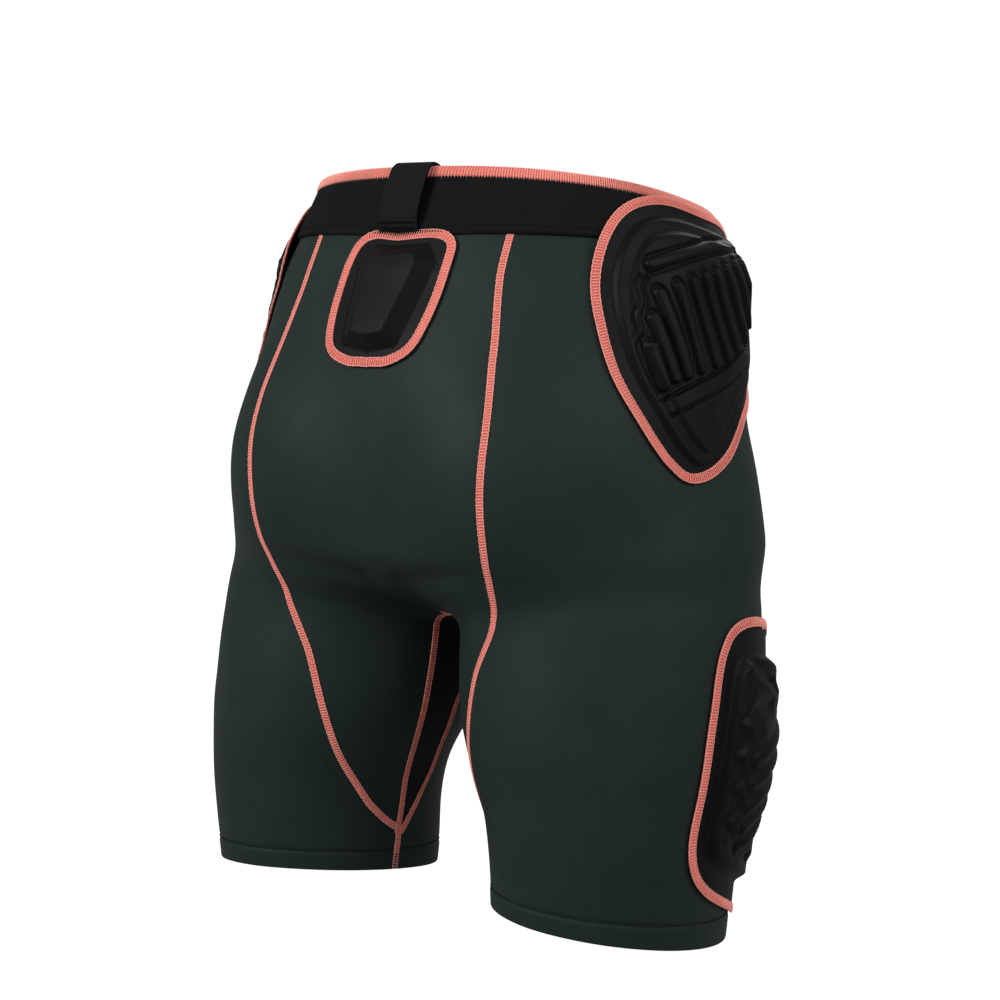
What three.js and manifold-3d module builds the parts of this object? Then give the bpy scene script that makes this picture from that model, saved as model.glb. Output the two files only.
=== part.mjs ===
import * as THREE from 'three';
import { mergeVertices } from 'three/addons/utils/BufferGeometryUtils.js';
import Module from 'manifold-3d';

const wasm = await Module();
wasm.setup();

// Padded impact shorts, in millimetres. X points to the wearer's left, Y to the back, Z up, and the
// origin is the middle of the waist opening. A place on the garment is (u, v): u is 0 at the centre
// back (the inseam on a leg) and 1 at the centre front, negative on the right half, and v is 0 at
// the waist edge, 1 at the crotch and 2 at the hem.

// Overall sizes
const rise = 268;
const inseam = 177;
const waistHalf = 128;
const hipHalf = 176;
const thighRadius = 89;
const hemRadius = 69;

// Cloth, band and pads
const fabric = 1.2;
const seamGap = 0.6;
const layerGap = 0.4;
const bandHeight = 42;
const bandFabric = 0.9;
const elastic = 1.5;
const overlockHeight = 6;
const overlockThread = 0.8;
const loopWidth = 30;
const loopTape = 1.6;
const loopSlack = 6;
const loopTuck = 14;
const padCover = 1.0;
const padGap = 0.9;
const padOverBand = 0.6;
const padFlange = 8;
const padRim = 2.5;
const borderWidth = 7;
const borderThread = 1.0;
const hipPadHeight = 12;
const thighPadHeight = 14;
const tailPadHeight = 9;
const tailPadDrop = 5.7;
const loopFabricClearance = 1.6;

// Slopes in degrees: the waist and hems against the floor, and the fold line of each leg
const waistTilt = 12;
const hemTiltBack = 9;
const hemTiltOut = 4;
const foldTilt = 30;
const legSplitTilt = 20;
const legSplitDepth = 68;

// Mesh fineness
const stepsAround = 24;
const trunkRows = 10;
const legRows = 11;
const padRings = [0, 0.3, 0.6, 0.82, 1];
const padSpokes = 32;

const outerBand = 2 * bandFabric + elastic + 2 * layerGap;
const bandV = bandHeight / rise;
const reach = 260;
const fold = THREE.MathUtils.degToRad(foldTilt);

const level = (t) => (t <= 1 ? -rise * t : -rise - inseam * (t - 1));
const between = (share, a, b) => a + (b - a) * share;
const smooth = (t) => {
  const c = Math.min(Math.max(t, 0), 1);
  return c * c * (3 - 2 * c);
};

// Body form: [level, half width, depth behind, depth in front, centre] for the trunk
const trunk = [
  [0, waistHalf, 92, 104, 0],
  [0.17, between(0.42, waistHalf, hipHalf), 113, 109, 0],
  [0.37, between(0.62, waistHalf, hipHalf), 134, 112, 2],
  [0.62, between(0.9, waistHalf, hipHalf), 138, 107, 4],
  [0.86, hipHalf, 131, 101, 6],
];
// and [level, sideways place, backward place, half width, half depth] for each leg
const leg = [
  [0.63, 80, 8, 82, 95],
  [0.9, 98, 18, thighRadius, 98],
  [1.27, 105, 28, thighRadius, 98],
  [1.63, 116, 42, between(0.7, thighRadius, hemRadius), 82],
  [2, 116, 43, hemRadius, 76],
];
const seat = { x: 68, y: 58, level: 0.634, width: 82, depth: 86, height: 0.321 * rise };
const squareness = 2.35;
const trunkEnd = { level: 0.78, round: 0.2015 * rise };
const legTop = { level: 0.71, round: 0.317 * rise };
const blend = 26;

// Smooth curve through one column of a station table, read at a height
function stationCurve(rows, column) {
  const heights = rows.map((row) => level(row[0]));
  const values = rows.map((row) => row[column]);
  const last = values.length - 1;
  const slopes = values.map((value, i) => {
    const a = Math.max(i - 1, 0);
    const b = Math.min(i + 1, last);
    return (values[b] - values[a]) / (b - a);
  });
  return (z) => {
    let i = 0;
    while (i < last - 1 && z < heights[i + 1]) i += 1;
    const t = (z - heights[i]) / (heights[i + 1] - heights[i]);
    if (t < 0) return values[i] + slopes[i] * t;
    if (t > 1) return values[i + 1] + slopes[i + 1] * (t - 1);
    const rest = 1 - t;
    const start = (1 + 2 * t) * rest * rest * values[i] + t * rest * rest * slopes[i];
    return start + t * t * (3 - 2 * t) * values[i + 1] - t * t * rest * slopes[i + 1];
  };
}

const curvesOf = (rows) => [1, 2, 3, 4].map((column) => stationCurve(rows, column));
const [trunkHalf, trunkBack, trunkFront, trunkMiddle] = curvesOf(trunk);
const [legX, legY, legHalf, legDepth] = curvesOf(leg);

function smoothUnion(a, b) {
  const near = Math.max(blend - Math.abs(a - b), 0) / blend;
  return Math.min(a, b) - (near * near * blend) / 4;
}

// Signed field of the body form, below zero inside: trunk, two legs and two seat muscles
function form(x, y, z) {
  const width = trunkHalf(z);
  const dy = y - trunkMiddle(z);
  const depth = dy > 0 ? trunkBack(z) - trunkMiddle(z) : trunkFront(z) + trunkMiddle(z);
  const section = Math.abs(x / width) ** squareness + Math.abs(dy / depth) ** squareness;
  const drop = Math.max(level(trunkEnd.level) - z, 0) / trunkEnd.round;
  const trunkField = (Math.hypot(section ** (1 / squareness), drop) - 1) * Math.min(width, depth);
  const legField = (side) => {
    const top = Math.max(z - level(legTop.level), 0) / legTop.round;
    const across = (x - side * legX(z)) / legHalf(z);
    const along = (y - legY(z)) / legDepth(z);
    return (Math.hypot(across, along, top) - 1) * Math.min(legHalf(z), legDepth(z));
  };
  const seatField = (side) => {
    const across = (x - side * seat.x) / seat.width;
    const along = (y - seat.y) / seat.depth;
    const up = (z - level(seat.level)) / seat.height;
    return (Math.hypot(across, along, up) - 1) * seat.width;
  };
  const legs = smoothUnion(legField(1), legField(-1));
  const seats = smoothUnion(seatField(1), seatField(-1));
  return smoothUnion(smoothUnion(trunkField, legs), seats);
}

// Distance from an inner point to the form's surface, by halving
function castFrom(origin, direction, limit) {
  const at = (r) => {
    return form(origin.x + direction.x * r, origin.y + direction.y * r, origin.z + direction.z * r);
  };
  if (at(limit) < 0) return limit;
  let low = 0;
  let high = limit;
  for (let i = 0; i < 24; i += 1) {
    const middle = (low + high) / 2;
    if (at(middle) < 0) low = middle;
    else high = middle;
  }
  return (low + high) / 2;
}

// Outward direction of the form at a point
function outward(p) {
  const h = 0.5;
  const gx = form(p.x + h, p.y, p.z) - form(p.x - h, p.y, p.z);
  const gy = form(p.x, p.y + h, p.z) - form(p.x, p.y - h, p.z);
  const gz = form(p.x, p.y, p.z + h) - form(p.x, p.y, p.z - h);
  return new THREE.Vector3(gx, gy, gz).normalize();
}

// Lowest point of the saddle between the legs
function findCrotch() {
  let crotch = new THREE.Vector3(0, 0, 0);
  const up = new THREE.Vector3(0, 0, -1);
  for (let y = -30; y <= 50; y += 1) {
    const start = new THREE.Vector3(0, y, level(0.6));
    const z = start.z - castFrom(start, up, inseam);
    if (z < crotch.z) crotch = new THREE.Vector3(0, y, z);
  }
  return crotch;
}
const crotch = findCrotch();

// Cutting plane of a row: its centre, sideways and backward directions, and the angles at which
// it meets the middle of the body behind and in front
function rowFrame(v) {
  const onTrunk = v <= 1;
  const t = Math.max(1 - v, 0);
  const q = Math.max(v - 1, 0);
  const lean = onTrunk ? fold * (1 - Math.min(t, 1)) ** 1.2 : fold * (1 - q) ** 1.6;
  const tiltX = lean - THREE.MathUtils.degToRad(hemTiltOut) * q ** 3;
  const waistShare = Math.max(t - 0.15, 0) / 0.85;
  const tiltY = THREE.MathUtils.degToRad(waistTilt) * waistShare;
  const tiltLeg = THREE.MathUtils.degToRad(hemTiltBack) * q ** 3;
  const topX = legX(crotch.z);
  const topZ = crotch.z + topX * Math.tan(fold);
  const legZ = between(q, topZ, level(2));
  const x = onTrunk ? between(Math.min(t, 1), topX, 68) : legX(legZ);
  const z = onTrunk ? crotch.z * (1 - t) + x * Math.tan(tiltX) : legZ;
  const settle = Math.min(q * 3, 1);
  const y = onTrunk ? between(t, crotch.y, 2) : between(settle, crotch.y, legY(legZ));
  const centre = new THREE.Vector3(x, y, z);
  const across = new THREE.Vector3(Math.cos(tiltX), 0, Math.sin(tiltX));
  const back = new THREE.Vector3(0, Math.cos(tiltY + tiltLeg), Math.sin(tiltY + tiltLeg));
  const reachIn = x / Math.cos(tiltX);
  const middle = centre.clone().addScaledVector(across, -reachIn);
  const open = v < 1;
  const behind = open ? Math.atan2(castFrom(middle, back, reach), reachIn) : 0;
  const front = open ? Math.atan2(castFrom(middle, back.clone().negate(), reach), reachIn) : 0;
  return { centre, across, back, behind, front: 2 * Math.PI - front };
}

// Point of the garment at (u, v), moved out along the normal. The side, 1 for left and -1 for
// right, tells the halves apart where u is 0
function place(u, v, offset, side = Math.sign(u) || 1) {
  const { centre, across, back, behind, front } = rowFrame(v);
  const angle = between(Math.abs(u), behind, front);
  const direction = across.clone().multiplyScalar(-Math.cos(angle));
  direction.addScaledVector(back, Math.sin(angle));
  const limit = direction.x < -1e-9 ? Math.min(centre.x / -direction.x, reach) : reach;
  const p = centre.clone().addScaledVector(direction, castFrom(centre, direction, limit));
  const atEnd = u === 0 || Math.abs(u) === 1;
  if (v === 1 && atEnd) p.copy(crotch);
  if (v < 1 && atEnd) p.x = 0;
  const normal = outward(p);
  if (p.x === 0) normal.setX(0).normalize();
  p.addScaledVector(normal, offset);
  p.x *= side;
  return p;
}

// A mesh is a list of corner triples; a grid of points gives two triangles to each cell
function addGrid(triangles, grid, flip) {
  for (let i = 0; i + 1 < grid.length; i += 1) {
    for (let j = 0; j + 1 < grid[i].length; j += 1) {
      const [a, b] = [grid[i][j], grid[i][j + 1]];
      const [c, d] = [grid[i + 1][j], grid[i + 1][j + 1]];
      triangles.push(...(flip ? [a, b, d, a, d, c] : [a, d, b, a, c, d]));
    }
  }
}

function geometryFrom(triangles) {
  const raw = new THREE.BufferGeometry().setFromPoints(triangles);
  const merged = mergeVertices(raw, 1e-4);
  const index = merged.getIndex().array;
  const kept = [];
  for (let i = 0; i < index.length; i += 3) {
    const [a, b, c] = [index[i], index[i + 1], index[i + 2]];
    if (a !== b && b !== c && a !== c) kept.push(a, b, c);
  }
  merged.setIndex(kept);
  return merged;
}

function solidFrom(geometry) {
  const bare = geometry.clone();
  bare.deleteAttribute('normal');
  bare.deleteAttribute('uv');
  const merged = mergeVertices(bare, 1e-4);
  const vertProperties = new Float32Array(merged.getAttribute('position').array);
  const triVerts = new Uint32Array(merged.getIndex().array);
  return new wasm.Manifold(new wasm.Mesh({ numProp: 3, vertProperties, triVerts }));
}

function geometryOf(solid) {
  const mesh = solid.getMesh();
  const geometry = new THREE.BufferGeometry();
  geometry.setAttribute('position', new THREE.BufferAttribute(mesh.vertProperties, 3));
  geometry.setIndex(new THREE.BufferAttribute(mesh.triVerts, 1));
  geometry.computeVertexNormals();
  return geometry;
}

// Solid between two skins of the whole garment below the waistband
function shellSolid() {
  const top = bandV + layerGap / rise;
  const rows = [];
  for (let i = trunkRows; i >= 0; i -= 1) rows.push(1 - (1 - top) * (i / trunkRows) ** 1.7);
  for (let i = 1; i <= legRows; i += 1) rows.push(1 + i / legRows);
  const triangles = [];
  const skins = [0, fabric].map((offset) => {
    return [1, -1].map((side) => rows.map((v) => {
      const points = [];
      for (let j = 0; j <= stepsAround; j += 1) {
        const isClosing = v > 1 && j === stepsAround;
        points.push(isClosing ? points[0] : place((side * j) / stepsAround, v, offset, side));
      }
      return points;
    }));
  });
  for (const [layer, pair] of skins.entries()) {
    for (const [half, grid] of pair.entries()) addGrid(triangles, grid, (layer + half) % 2 === 1);
  }
  for (const half of [0, 1]) {
    for (const row of [0, rows.length - 1]) {
      addGrid(triangles, [skins[0][half][row], skins[1][half][row]], (row === 0) === (half === 0));
    }
  }
  return solidFrom(geometryFrom(triangles));
}

// Straight bar with the given outline, running along Y (outline in x, z) or X (outline in y, z)
function bar(outline, along, from, to) {
  const shape = new THREE.Shape(outline.map(([a, b]) => new THREE.Vector2(a, b)));
  const geometry = new THREE.ExtrudeGeometry(shape, { depth: to - from, bevelEnabled: false });
  const [x, y, z] = [new THREE.Vector3(1, 0, 0), new THREE.Vector3(0, 1, 0), new THREE.Vector3(0, 0, 1)];
  const turn = new THREE.Matrix4();
  if (along === 'y') turn.makeBasis(x, z, y.clone().negate()).setPosition(0, to, 0);
  else turn.makeBasis(y, z, x).setPosition(from, 0, 0);
  geometry.applyMatrix4(turn);
  return solidFrom(geometry);
}

// Seam lines. The back seams give [level, distance from the middle]; the gusset's edges give
// [level, backward place]
const backSeam = [
  [-0.1, 74], [0.17, 76], [0.36, 85], [0.5, 91], [0.65, 91], [0.8, 89], [0.95, 82],
  [1.1, 68], [1.3, 60], [1.5, 56], [1.68, 51], [1.8, 46],
];
const gussetBack = [[1, 52], [1.15, 55], [1.3, 57], [1.52, 55], [1.7, 54], [1.82, 57]];
const gussetFront = [[1, -32], [1.12, 5], [1.3, 26], [1.45, 27], [1.6, 28], [1.72, 40], [1.82, 54]];

const highEdge = 90;
const lowEdge = level(2) - 60;
const half = seamGap / 2;

function backRegion(grow) {
  const right = backSeam.map(([t, x]) => [-x - grow, level(t)]);
  const left = backSeam.map(([t, x]) => [x + grow, level(t)]).reverse();
  const seams = bar([...right, ...left], 'y', 0, reach);
  const edge = gussetBack.map(([t, y]) => [y - grow, level(t)]);
  edge[0] = [gussetBack[0][1] - grow, level(0.95)];
  const behind = [[0, highEdge], [0, level(0.92)], ...edge, [edge.at(-1)[0], lowEdge]];
  return seams.intersect(bar([...behind, [reach, lowEdge], [reach, highEdge]], 'x', -reach, reach));
}

function gussetRegion(grow) {
  const backEdge = gussetBack.map(([t, y]) => [y + grow, level(t)]);
  const frontEdge = gussetFront.map(([t, y]) => [y - grow, level(t)]).reverse();
  backEdge[0] = [gussetBack[0][1] + grow, level(0.95)];
  frontEdge[frontEdge.length - 1] = [gussetFront[0][1] - grow, level(0.92)];
  const innerWall = legX(crotch.z) * 0.8;
  return bar([...frontEdge, ...backEdge], 'x', -innerWall, innerWall);
}

// Cut lines between the hips and each leg, where the cloth folds as the leg swings
const foldHeight = (x) => crotch.z + Math.abs(x) * Math.tan(fold);
const splitSlope = Math.tan(THREE.MathUtils.degToRad(legSplitTilt));
const splitHeight = (x) => crotch.z - legSplitDepth + Math.abs(x) * splitSlope;
const gussetMiddle = 8;

function hipRegion() {
  const ends = foldHeight(reach) + half;
  const line = [[-reach, ends], [0, crotch.z + half], [reach, ends]];
  return bar([...line, [reach, highEdge], [-reach, highEdge]], 'y', -reach, reach);
}

function sideOutline(side, points) {
  return side > 0 ? points : points.map(([x, z]) => [-x, z]).reverse();
}

function bendRegion(side, inner) {
  const above = [[reach, foldHeight(reach) - half], [inner, foldHeight(inner) - half]];
  const below = [[inner, splitHeight(inner) + half], [reach, splitHeight(reach) + half]];
  return bar(sideOutline(side, [...below, ...above]), 'y', -reach, reach);
}

function legRegion(side) {
  const above = [[reach, splitHeight(reach) - half], [half, splitHeight(half) - half]];
  return bar(sideOutline(side, [[half, lowEdge], [reach, lowEdge], ...above]), 'y', -reach, reach);
}

// Materials
const finish = (color, roughness) => new THREE.MeshStandardMaterial({ color, roughness, metalness: 0 });
const shellKnit = finish(0x4a524f, 0.75);
const gussetKnit = finish(0x2b2d2e, 0.8);
const bandKnit = finish(0x1d1e20, 0.85);
const elasticWeb = finish(0xd8d6d0, 0.9);
const coralThread = finish(0xe87464, 0.7);
const webbing = finish(0x2c2d2f, 0.8);
const mouldedKnit = finish(0x202225, 0.6);
const foam = finish(0x3a3b3d, 0.95);

const shorts = new THREE.Group();
function add(name, geometry, material) {
  const mesh = new THREE.Mesh(geometry, material);
  mesh.name = name;
  shorts.add(mesh);
  return mesh;
}

// Shell panels
const shell = shellSolid();
const sides = [['left', 1], ['right', -1]];
const backCloth = shell.intersect(backRegion(-half)).subtract(gussetRegion(half));
const gussetCloth = shell.intersect(gussetRegion(-half));
const sideCloth = shell.subtract(backRegion(half)).subtract(gussetRegion(half));
const middle = bar([[-gussetMiddle, lowEdge], [gussetMiddle, lowEdge], [gussetMiddle, 0],
  [-gussetMiddle, 0]], 'y', -reach, reach);

add('back_panel_seat', geometryOf(backCloth.intersect(hipRegion())), shellKnit);
add('gusset_crotch', geometryOf(gussetCloth.intersect(middle)), gussetKnit);
for (const [word, side] of sides) {
  const halfSpace = bar(sideOutline(side, [[half, lowEdge], [reach, lowEdge], [reach, highEdge],
    [half, highEdge]]), 'y', -reach, reach);
  const bend = bendRegion(side, half);
  const gussetInner = gussetMiddle + seamGap;
  const gussetSpan = bar(sideOutline(side, [[gussetInner, splitHeight(gussetInner) + half],
    [reach, splitHeight(reach) + half], [reach, highEdge], [gussetInner, highEdge]]), 'y', -reach, reach);
  const sideHip = sideCloth.intersect(hipRegion()).intersect(halfSpace);
  add(`side_panel_hip_${word}`, geometryOf(sideHip), shellKnit);
  add(`back_panel_bend_${word}`, geometryOf(backCloth.intersect(bend)), shellKnit);
  add(`side_panel_bend_${word}`, geometryOf(sideCloth.intersect(bend)), shellKnit);
  add(`gusset_bend_${word}`, geometryOf(gussetCloth.intersect(gussetSpan)), gussetKnit);
  add(`back_panel_leg_${word}`, geometryOf(backCloth.intersect(legRegion(side))), shellKnit);
  add(`side_panel_leg_${word}`, geometryOf(sideCloth.intersect(legRegion(side))), shellKnit);
  add(`gusset_leg_${word}`, geometryOf(gussetCloth.intersect(legRegion(side))), gussetKnit);
}

// Ring round the waist with a closed profile of [millimetres below the edge, offset] corners
function waistRing(profile) {
  const triangles = [];
  for (const side of [1, -1]) {
    const grid = [];
    for (let j = 0; j <= stepsAround; j += 1) {
      const u = (side * j) / stepsAround;
      grid.push([...profile, profile[0]].map(([drop, offset]) => place(u, drop / rise, offset, side)));
    }
    addGrid(triangles, grid, side < 0);
  }
  return geometryFrom(triangles);
}

const bandTop = bandFabric;
const innerFace = bandFabric + layerGap;
const outerFace = outerBand - bandFabric;
const bandMiddle = bandHeight / 2;
add('waistband_cover', waistRing([
  [0, 0], [0, outerBand], [bandMiddle, outerBand], [bandHeight, outerBand], [bandHeight, outerFace],
  [bandMiddle, outerFace], [bandTop, outerFace], [bandTop, bandFabric], [bandMiddle, bandFabric],
  [bandHeight, bandFabric], [bandHeight, 0], [bandMiddle, 0],
]), bandKnit);
add('waistband_elastic', waistRing([
  [bandTop + layerGap, innerFace], [bandTop + layerGap, outerFace - layerGap],
  [bandMiddle, outerFace - layerGap], [bandHeight - 1, outerFace - layerGap],
  [bandHeight - 1, innerFace], [bandMiddle, innerFace],
]), elasticWeb);
const threadIn = -layerGap;
const threadOut = outerBand + layerGap;
add('waistband_overlock', waistRing([
  [-layerGap - overlockThread, threadIn - overlockThread],
  [-layerGap - overlockThread, threadOut + overlockThread],
  [overlockHeight, threadOut + overlockThread], [overlockHeight, threadOut],
  [-layerGap, threadOut], [-layerGap, threadIn],
  [overlockHeight, threadIn], [overlockHeight, threadIn - overlockThread],
]), coralThread);

// Belt loop: a tape over the top edge at the centre back. Its profile is [down, out] on the band
function beltLoop() {
  const top = place(0, 0, 0);
  const low = place(0, bandV, 0);
  const down = low.clone().sub(top).normalize();
  const out = new THREE.Vector3(0, -down.z, down.y);
  const foot = outerBand + layerGap;
  const crown = foot + overlockThread + layerGap;
  const stand = outerBand + loopSlack;
  const inside = -loopFabricClearance - overlockThread;
  const peak = -2 * layerGap - overlockThread;
  const end = bandHeight + 1;
  const profile = [
    [end, foot], [end, foot + loopTape], [end - 7, stand + loopTape], [4, stand + loopTape],
    [peak - loopTape, crown + loopTape], [peak - loopTape, inside - loopTape],
    [loopTuck, inside - loopTape], [loopTuck, inside], [peak, inside], [peak, crown],
    [4, stand], [end - 7, stand],
  ];
  const shape = new THREE.Shape(profile.map(([s, d]) => new THREE.Vector2(s, d)));
  const geometry = new THREE.ExtrudeGeometry(shape, { depth: loopWidth, bevelEnabled: false });
  const across = new THREE.Vector3().crossVectors(down, out);
  geometry.translate(0, 0, -loopWidth / 2);
  geometry.applyMatrix4(new THREE.Matrix4().makeBasis(down, out, across).setPosition(top));
  return geometry;
}
add('belt_loop', beltLoop(), webbing);

// Impact pads. An outline is a closed smooth curve through [u, v] points
const hipOutline = [
  [0.44, 0.045], [0.35, 0.09], [0.295, 0.19], [0.272, 0.33], [0.283, 0.52], [0.32, 0.7],
  [0.37, 0.87], [0.425, 0.965], [0.49, 0.9], [0.575, 0.72], [0.665, 0.56], [0.73, 0.36],
  [0.745, 0.18], [0.7, 0.06], [0.57, 0.045],
];
const thighOutline = [
  [0.5, 1.29], [0.475, 1.35], [0.465, 1.48], [0.462, 1.63], [0.455, 1.76], [0.48, 1.84],
  [0.55, 1.895], [0.63, 1.925], [0.685, 1.87], [0.7, 1.7], [0.7, 1.5], [0.67, 1.35], [0.59, 1.29],
];
const tailTop = (bandHeight + tailPadDrop) / rise;
const tailHalf = [
  [0, tailTop], [-0.05, tailTop], [-0.066, tailTop + 0.022], [-0.06, 0.28], [-0.05, 0.36],
  [-0.038, 0.43],
];
const tailOutline = [
  ...tailHalf, [0, 0.449], ...tailHalf.slice(1).reverse().map(([u, v]) => [-u, v]),
];

// Height of a pad's base: on the shell, or stepped out to clear the waistband
function padBase(v) {
  const overBand = 1 - smooth(((v - bandV) * rise) / bandHeight);
  return fabric + padGap + (outerBand - fabric + padOverBand) * overBand;
}

function pad(name, outline, side, height) {
  const points = outline.map(([u, v]) => new THREE.Vector3(u, v, 0));
  const curve = new THREE.CatmullRomCurve3(points, true);
  const centre = points.reduce((sum, p) => sum.add(p), new THREE.Vector3()).divideScalar(points.length);
  const rim = curve.getPoints(padSpokes).slice(0, padSpokes);
  const middlePoint = place(side * centre.x, centre.y, 0);
  const lengths = rim.map((p) => place(side * p.x, p.y, 0).distanceTo(middlePoint));
  const shareAt = (j, inset) => 1 - inset / lengths[j];
  const spot = (j, share, lift) => {
    const u = between(share, centre.x, rim[j].x);
    const v = between(share, centre.y, rim[j].y);
    return place(side * u, v, padBase(v) + lift);
  };
  // Closed loop of spokes through [share, lift] stops; a share of 0 is the one middle point
  const lathe = (stops) => {
    const grid = rim.map((_, j) => stops(j).map(([share, lift]) => spot(j, share, lift)));
    const triangles = [];
    addGrid(triangles, [...grid, grid[0]], side < 0);
    return geometryFrom(triangles);
  };
  const foamInset = padFlange + 1.5;
  const rise01 = padRings.map((share) => padRim + (height - padRim) * (1 - smooth((share - 0.6) / 0.4)));
  const foamStops = (j, extra, lift) => padRings.map((share, i) => {
    return [share * (shareAt(j, foamInset) + extra), rise01[i] + lift];
  });
  add(`${name}_foam`, lathe((j) => [
    ...foamStops(j, 0, 0), ...[...padRings].reverse().map((share) => [share * shareAt(j, foamInset), 0]),
  ]), foam);
  const ease = 0.015;
  add(`${name}_cover`, lathe((j) => [
    ...foamStops(j, ease, padGap + padCover), [shareAt(j, padFlange - 1.5), padCover],
    [1, padCover], [1, 0], [shareAt(j, padFlange - 0.5), 0], ...foamStops(j, ease, padGap).reverse(),
  ]), mouldedKnit);
  const lift = padCover + padGap - 0.3;
  const border = lathe((j) => {
    const [inner, outer] = [shareAt(j, borderWidth - 0.5), shareAt(j, 0.5)];
    const top = lift + borderThread;
    return [[outer, lift], [inner, lift], [inner, top], [outer, top], [outer, lift]];
  });
  add(`${name}_border`, border, coralThread);
}

pad('tail_pad', tailOutline, 1, tailPadHeight);
for (const [word, side] of sides) {
  pad(`hip_pad_${word}`, hipOutline, side, hipPadHeight);
  pad(`thigh_pad_${word}`, thighOutline, side, thighPadHeight);
}

export default shorts;
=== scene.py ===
import math

import bpy
import numpy as np
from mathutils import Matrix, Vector


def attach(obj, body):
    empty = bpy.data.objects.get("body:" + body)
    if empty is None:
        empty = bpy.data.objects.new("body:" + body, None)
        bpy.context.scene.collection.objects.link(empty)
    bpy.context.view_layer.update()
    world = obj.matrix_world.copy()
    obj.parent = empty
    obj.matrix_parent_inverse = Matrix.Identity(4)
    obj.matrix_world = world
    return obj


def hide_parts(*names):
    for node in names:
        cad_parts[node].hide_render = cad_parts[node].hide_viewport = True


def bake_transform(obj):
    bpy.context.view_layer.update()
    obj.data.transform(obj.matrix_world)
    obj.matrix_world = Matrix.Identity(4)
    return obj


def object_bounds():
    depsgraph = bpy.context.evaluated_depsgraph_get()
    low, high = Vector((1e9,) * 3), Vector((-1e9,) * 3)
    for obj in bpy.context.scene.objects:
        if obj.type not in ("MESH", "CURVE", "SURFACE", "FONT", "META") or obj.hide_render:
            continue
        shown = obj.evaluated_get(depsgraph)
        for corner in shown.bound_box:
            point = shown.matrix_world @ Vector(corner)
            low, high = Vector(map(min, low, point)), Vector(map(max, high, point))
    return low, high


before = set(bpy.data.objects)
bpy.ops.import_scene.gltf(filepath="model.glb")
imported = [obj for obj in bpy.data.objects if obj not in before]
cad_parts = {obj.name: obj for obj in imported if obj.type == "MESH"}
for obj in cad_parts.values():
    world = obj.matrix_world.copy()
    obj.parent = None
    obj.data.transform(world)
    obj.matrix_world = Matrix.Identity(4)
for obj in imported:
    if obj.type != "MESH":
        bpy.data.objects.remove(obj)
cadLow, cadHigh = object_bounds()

# Padded impact shorts. Lengths are in millimetres until a mesh is made, where they turn to metres.
# A place on the garment is (u, v): u is 0 at the centre back (the inseam on a leg) and 1 at the
# centre front, negative on the right half; v is 0 at the waist edge, 1 at the crotch, 2 at the hem.

garment = {
    "rise": 268, "inseam": 177, "waistHalf": 128, "hipHalf": 176, "thighRadius": 89,
    "hemRadius": 69, "fabric": 1.2, "bandHeight": 42, "bandThickness": 4.1, "waistTilt": 12,
    "hemTiltBack": 9, "hemTiltOut": 4, "foldTilt": 30, "squareness": 2.35, "blend": 26,
    "hemFold": 11,
}
rise, inseam = garment["rise"], garment["inseam"]
fabric = garment["fabric"]
bandV = garment["bandHeight"] / rise
fold = math.radians(garment["foldTilt"])
reach, halvings = 260, 24


# Height of a level: the rise down to 1, then the inseam
def level(t):
    t = np.asarray(t, float)
    return np.where(t <= 1, -rise * t, -rise - inseam * (t - 1))


# Value a share of the way from a to b: a plus the share of their difference
def between(share, a, b):
    return a + (b - a) * share


# Smooth step: three times the square less twice the cube, of a share held between 0 and 1
def smooth(t):
    c = np.clip(t, 0, 1)
    return c * c * (3 - 2 * c)


# Vectors over their own lengths
def unit(a):
    return a / np.maximum(np.linalg.norm(a, axis=-1, keepdims=True), 1e-12)


# Dot product: the sum of the products of the coordinates
def dot(a, b):
    return (a * b).sum(-1)


# Smooth curve through one column of a station table, read at a height: a cubic between stations
# with central slopes, carried on straight outside the table
def stationCurve(rows, column=1):
    heights = level([row[0] for row in rows])
    values = np.array([row[column] for row in rows], float)
    slopes = np.gradient(values)

    # Cubic through two stations: each end's value and slope times its own weight
    def read(z):
        i = np.clip(np.searchsorted(-heights, -np.asarray(z, float)) - 1, 0, len(values) - 2)
        t = (z - heights[i]) / (heights[i + 1] - heights[i])
        s = np.clip(t, 0, 1)
        start = (1 + 2 * s) * (1 - s) ** 2 * values[i] + s * (1 - s) ** 2 * slopes[i]
        end = s * s * (3 - 2 * s) * values[i + 1] - s * s * (1 - s) * slopes[i + 1]
        return start + end + np.minimum(t, 0) * slopes[i] + np.maximum(t - 1, 0) * slopes[i + 1]

    return read


# Half width a share of the way from the waist to the hips
def widthAt(share):
    return between(share, garment["waistHalf"], garment["hipHalf"])


# Body form under the cloth: [level, half width, depth behind, depth in front, centre] and
# [level, sideways place, backward place, half width, half depth]
trunkStations = [
    [0, garment["waistHalf"], 92, 104, 0], [0.17, widthAt(0.42), 113, 109, 0],
    [0.37, widthAt(0.62), 134, 112, 2], [0.62, widthAt(0.9), 138, 107, 4],
    [0.86, garment["hipHalf"], 131, 101, 6],
]
thigh, hem = garment["thighRadius"], garment["hemRadius"]
legStations = [
    [0.63, 80, 8, 82, 95], [0.9, 98, 18, thigh, 98], [1.27, 105, 28, thigh, 98],
    [1.63, 116, 42, between(0.7, thigh, hem), 82], [2, 116, 43, hem, 76],
]
seat = {"x": 68, "y": 58, "level": 0.634, "width": 82, "depth": 86, "height": 0.321 * rise}
trunkEnd = {"level": 0.78, "round": 0.2015 * rise}
legTop = {"level": 0.71, "round": 0.317 * rise}
trunkHalf, trunkBack, trunkFront, trunkMiddle = [
    stationCurve(trunkStations, column) for column in (1, 2, 3, 4)]
legX, legY, legHalf, legDepth = [stationCurve(legStations, column) for column in (1, 2, 3, 4)]


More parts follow.
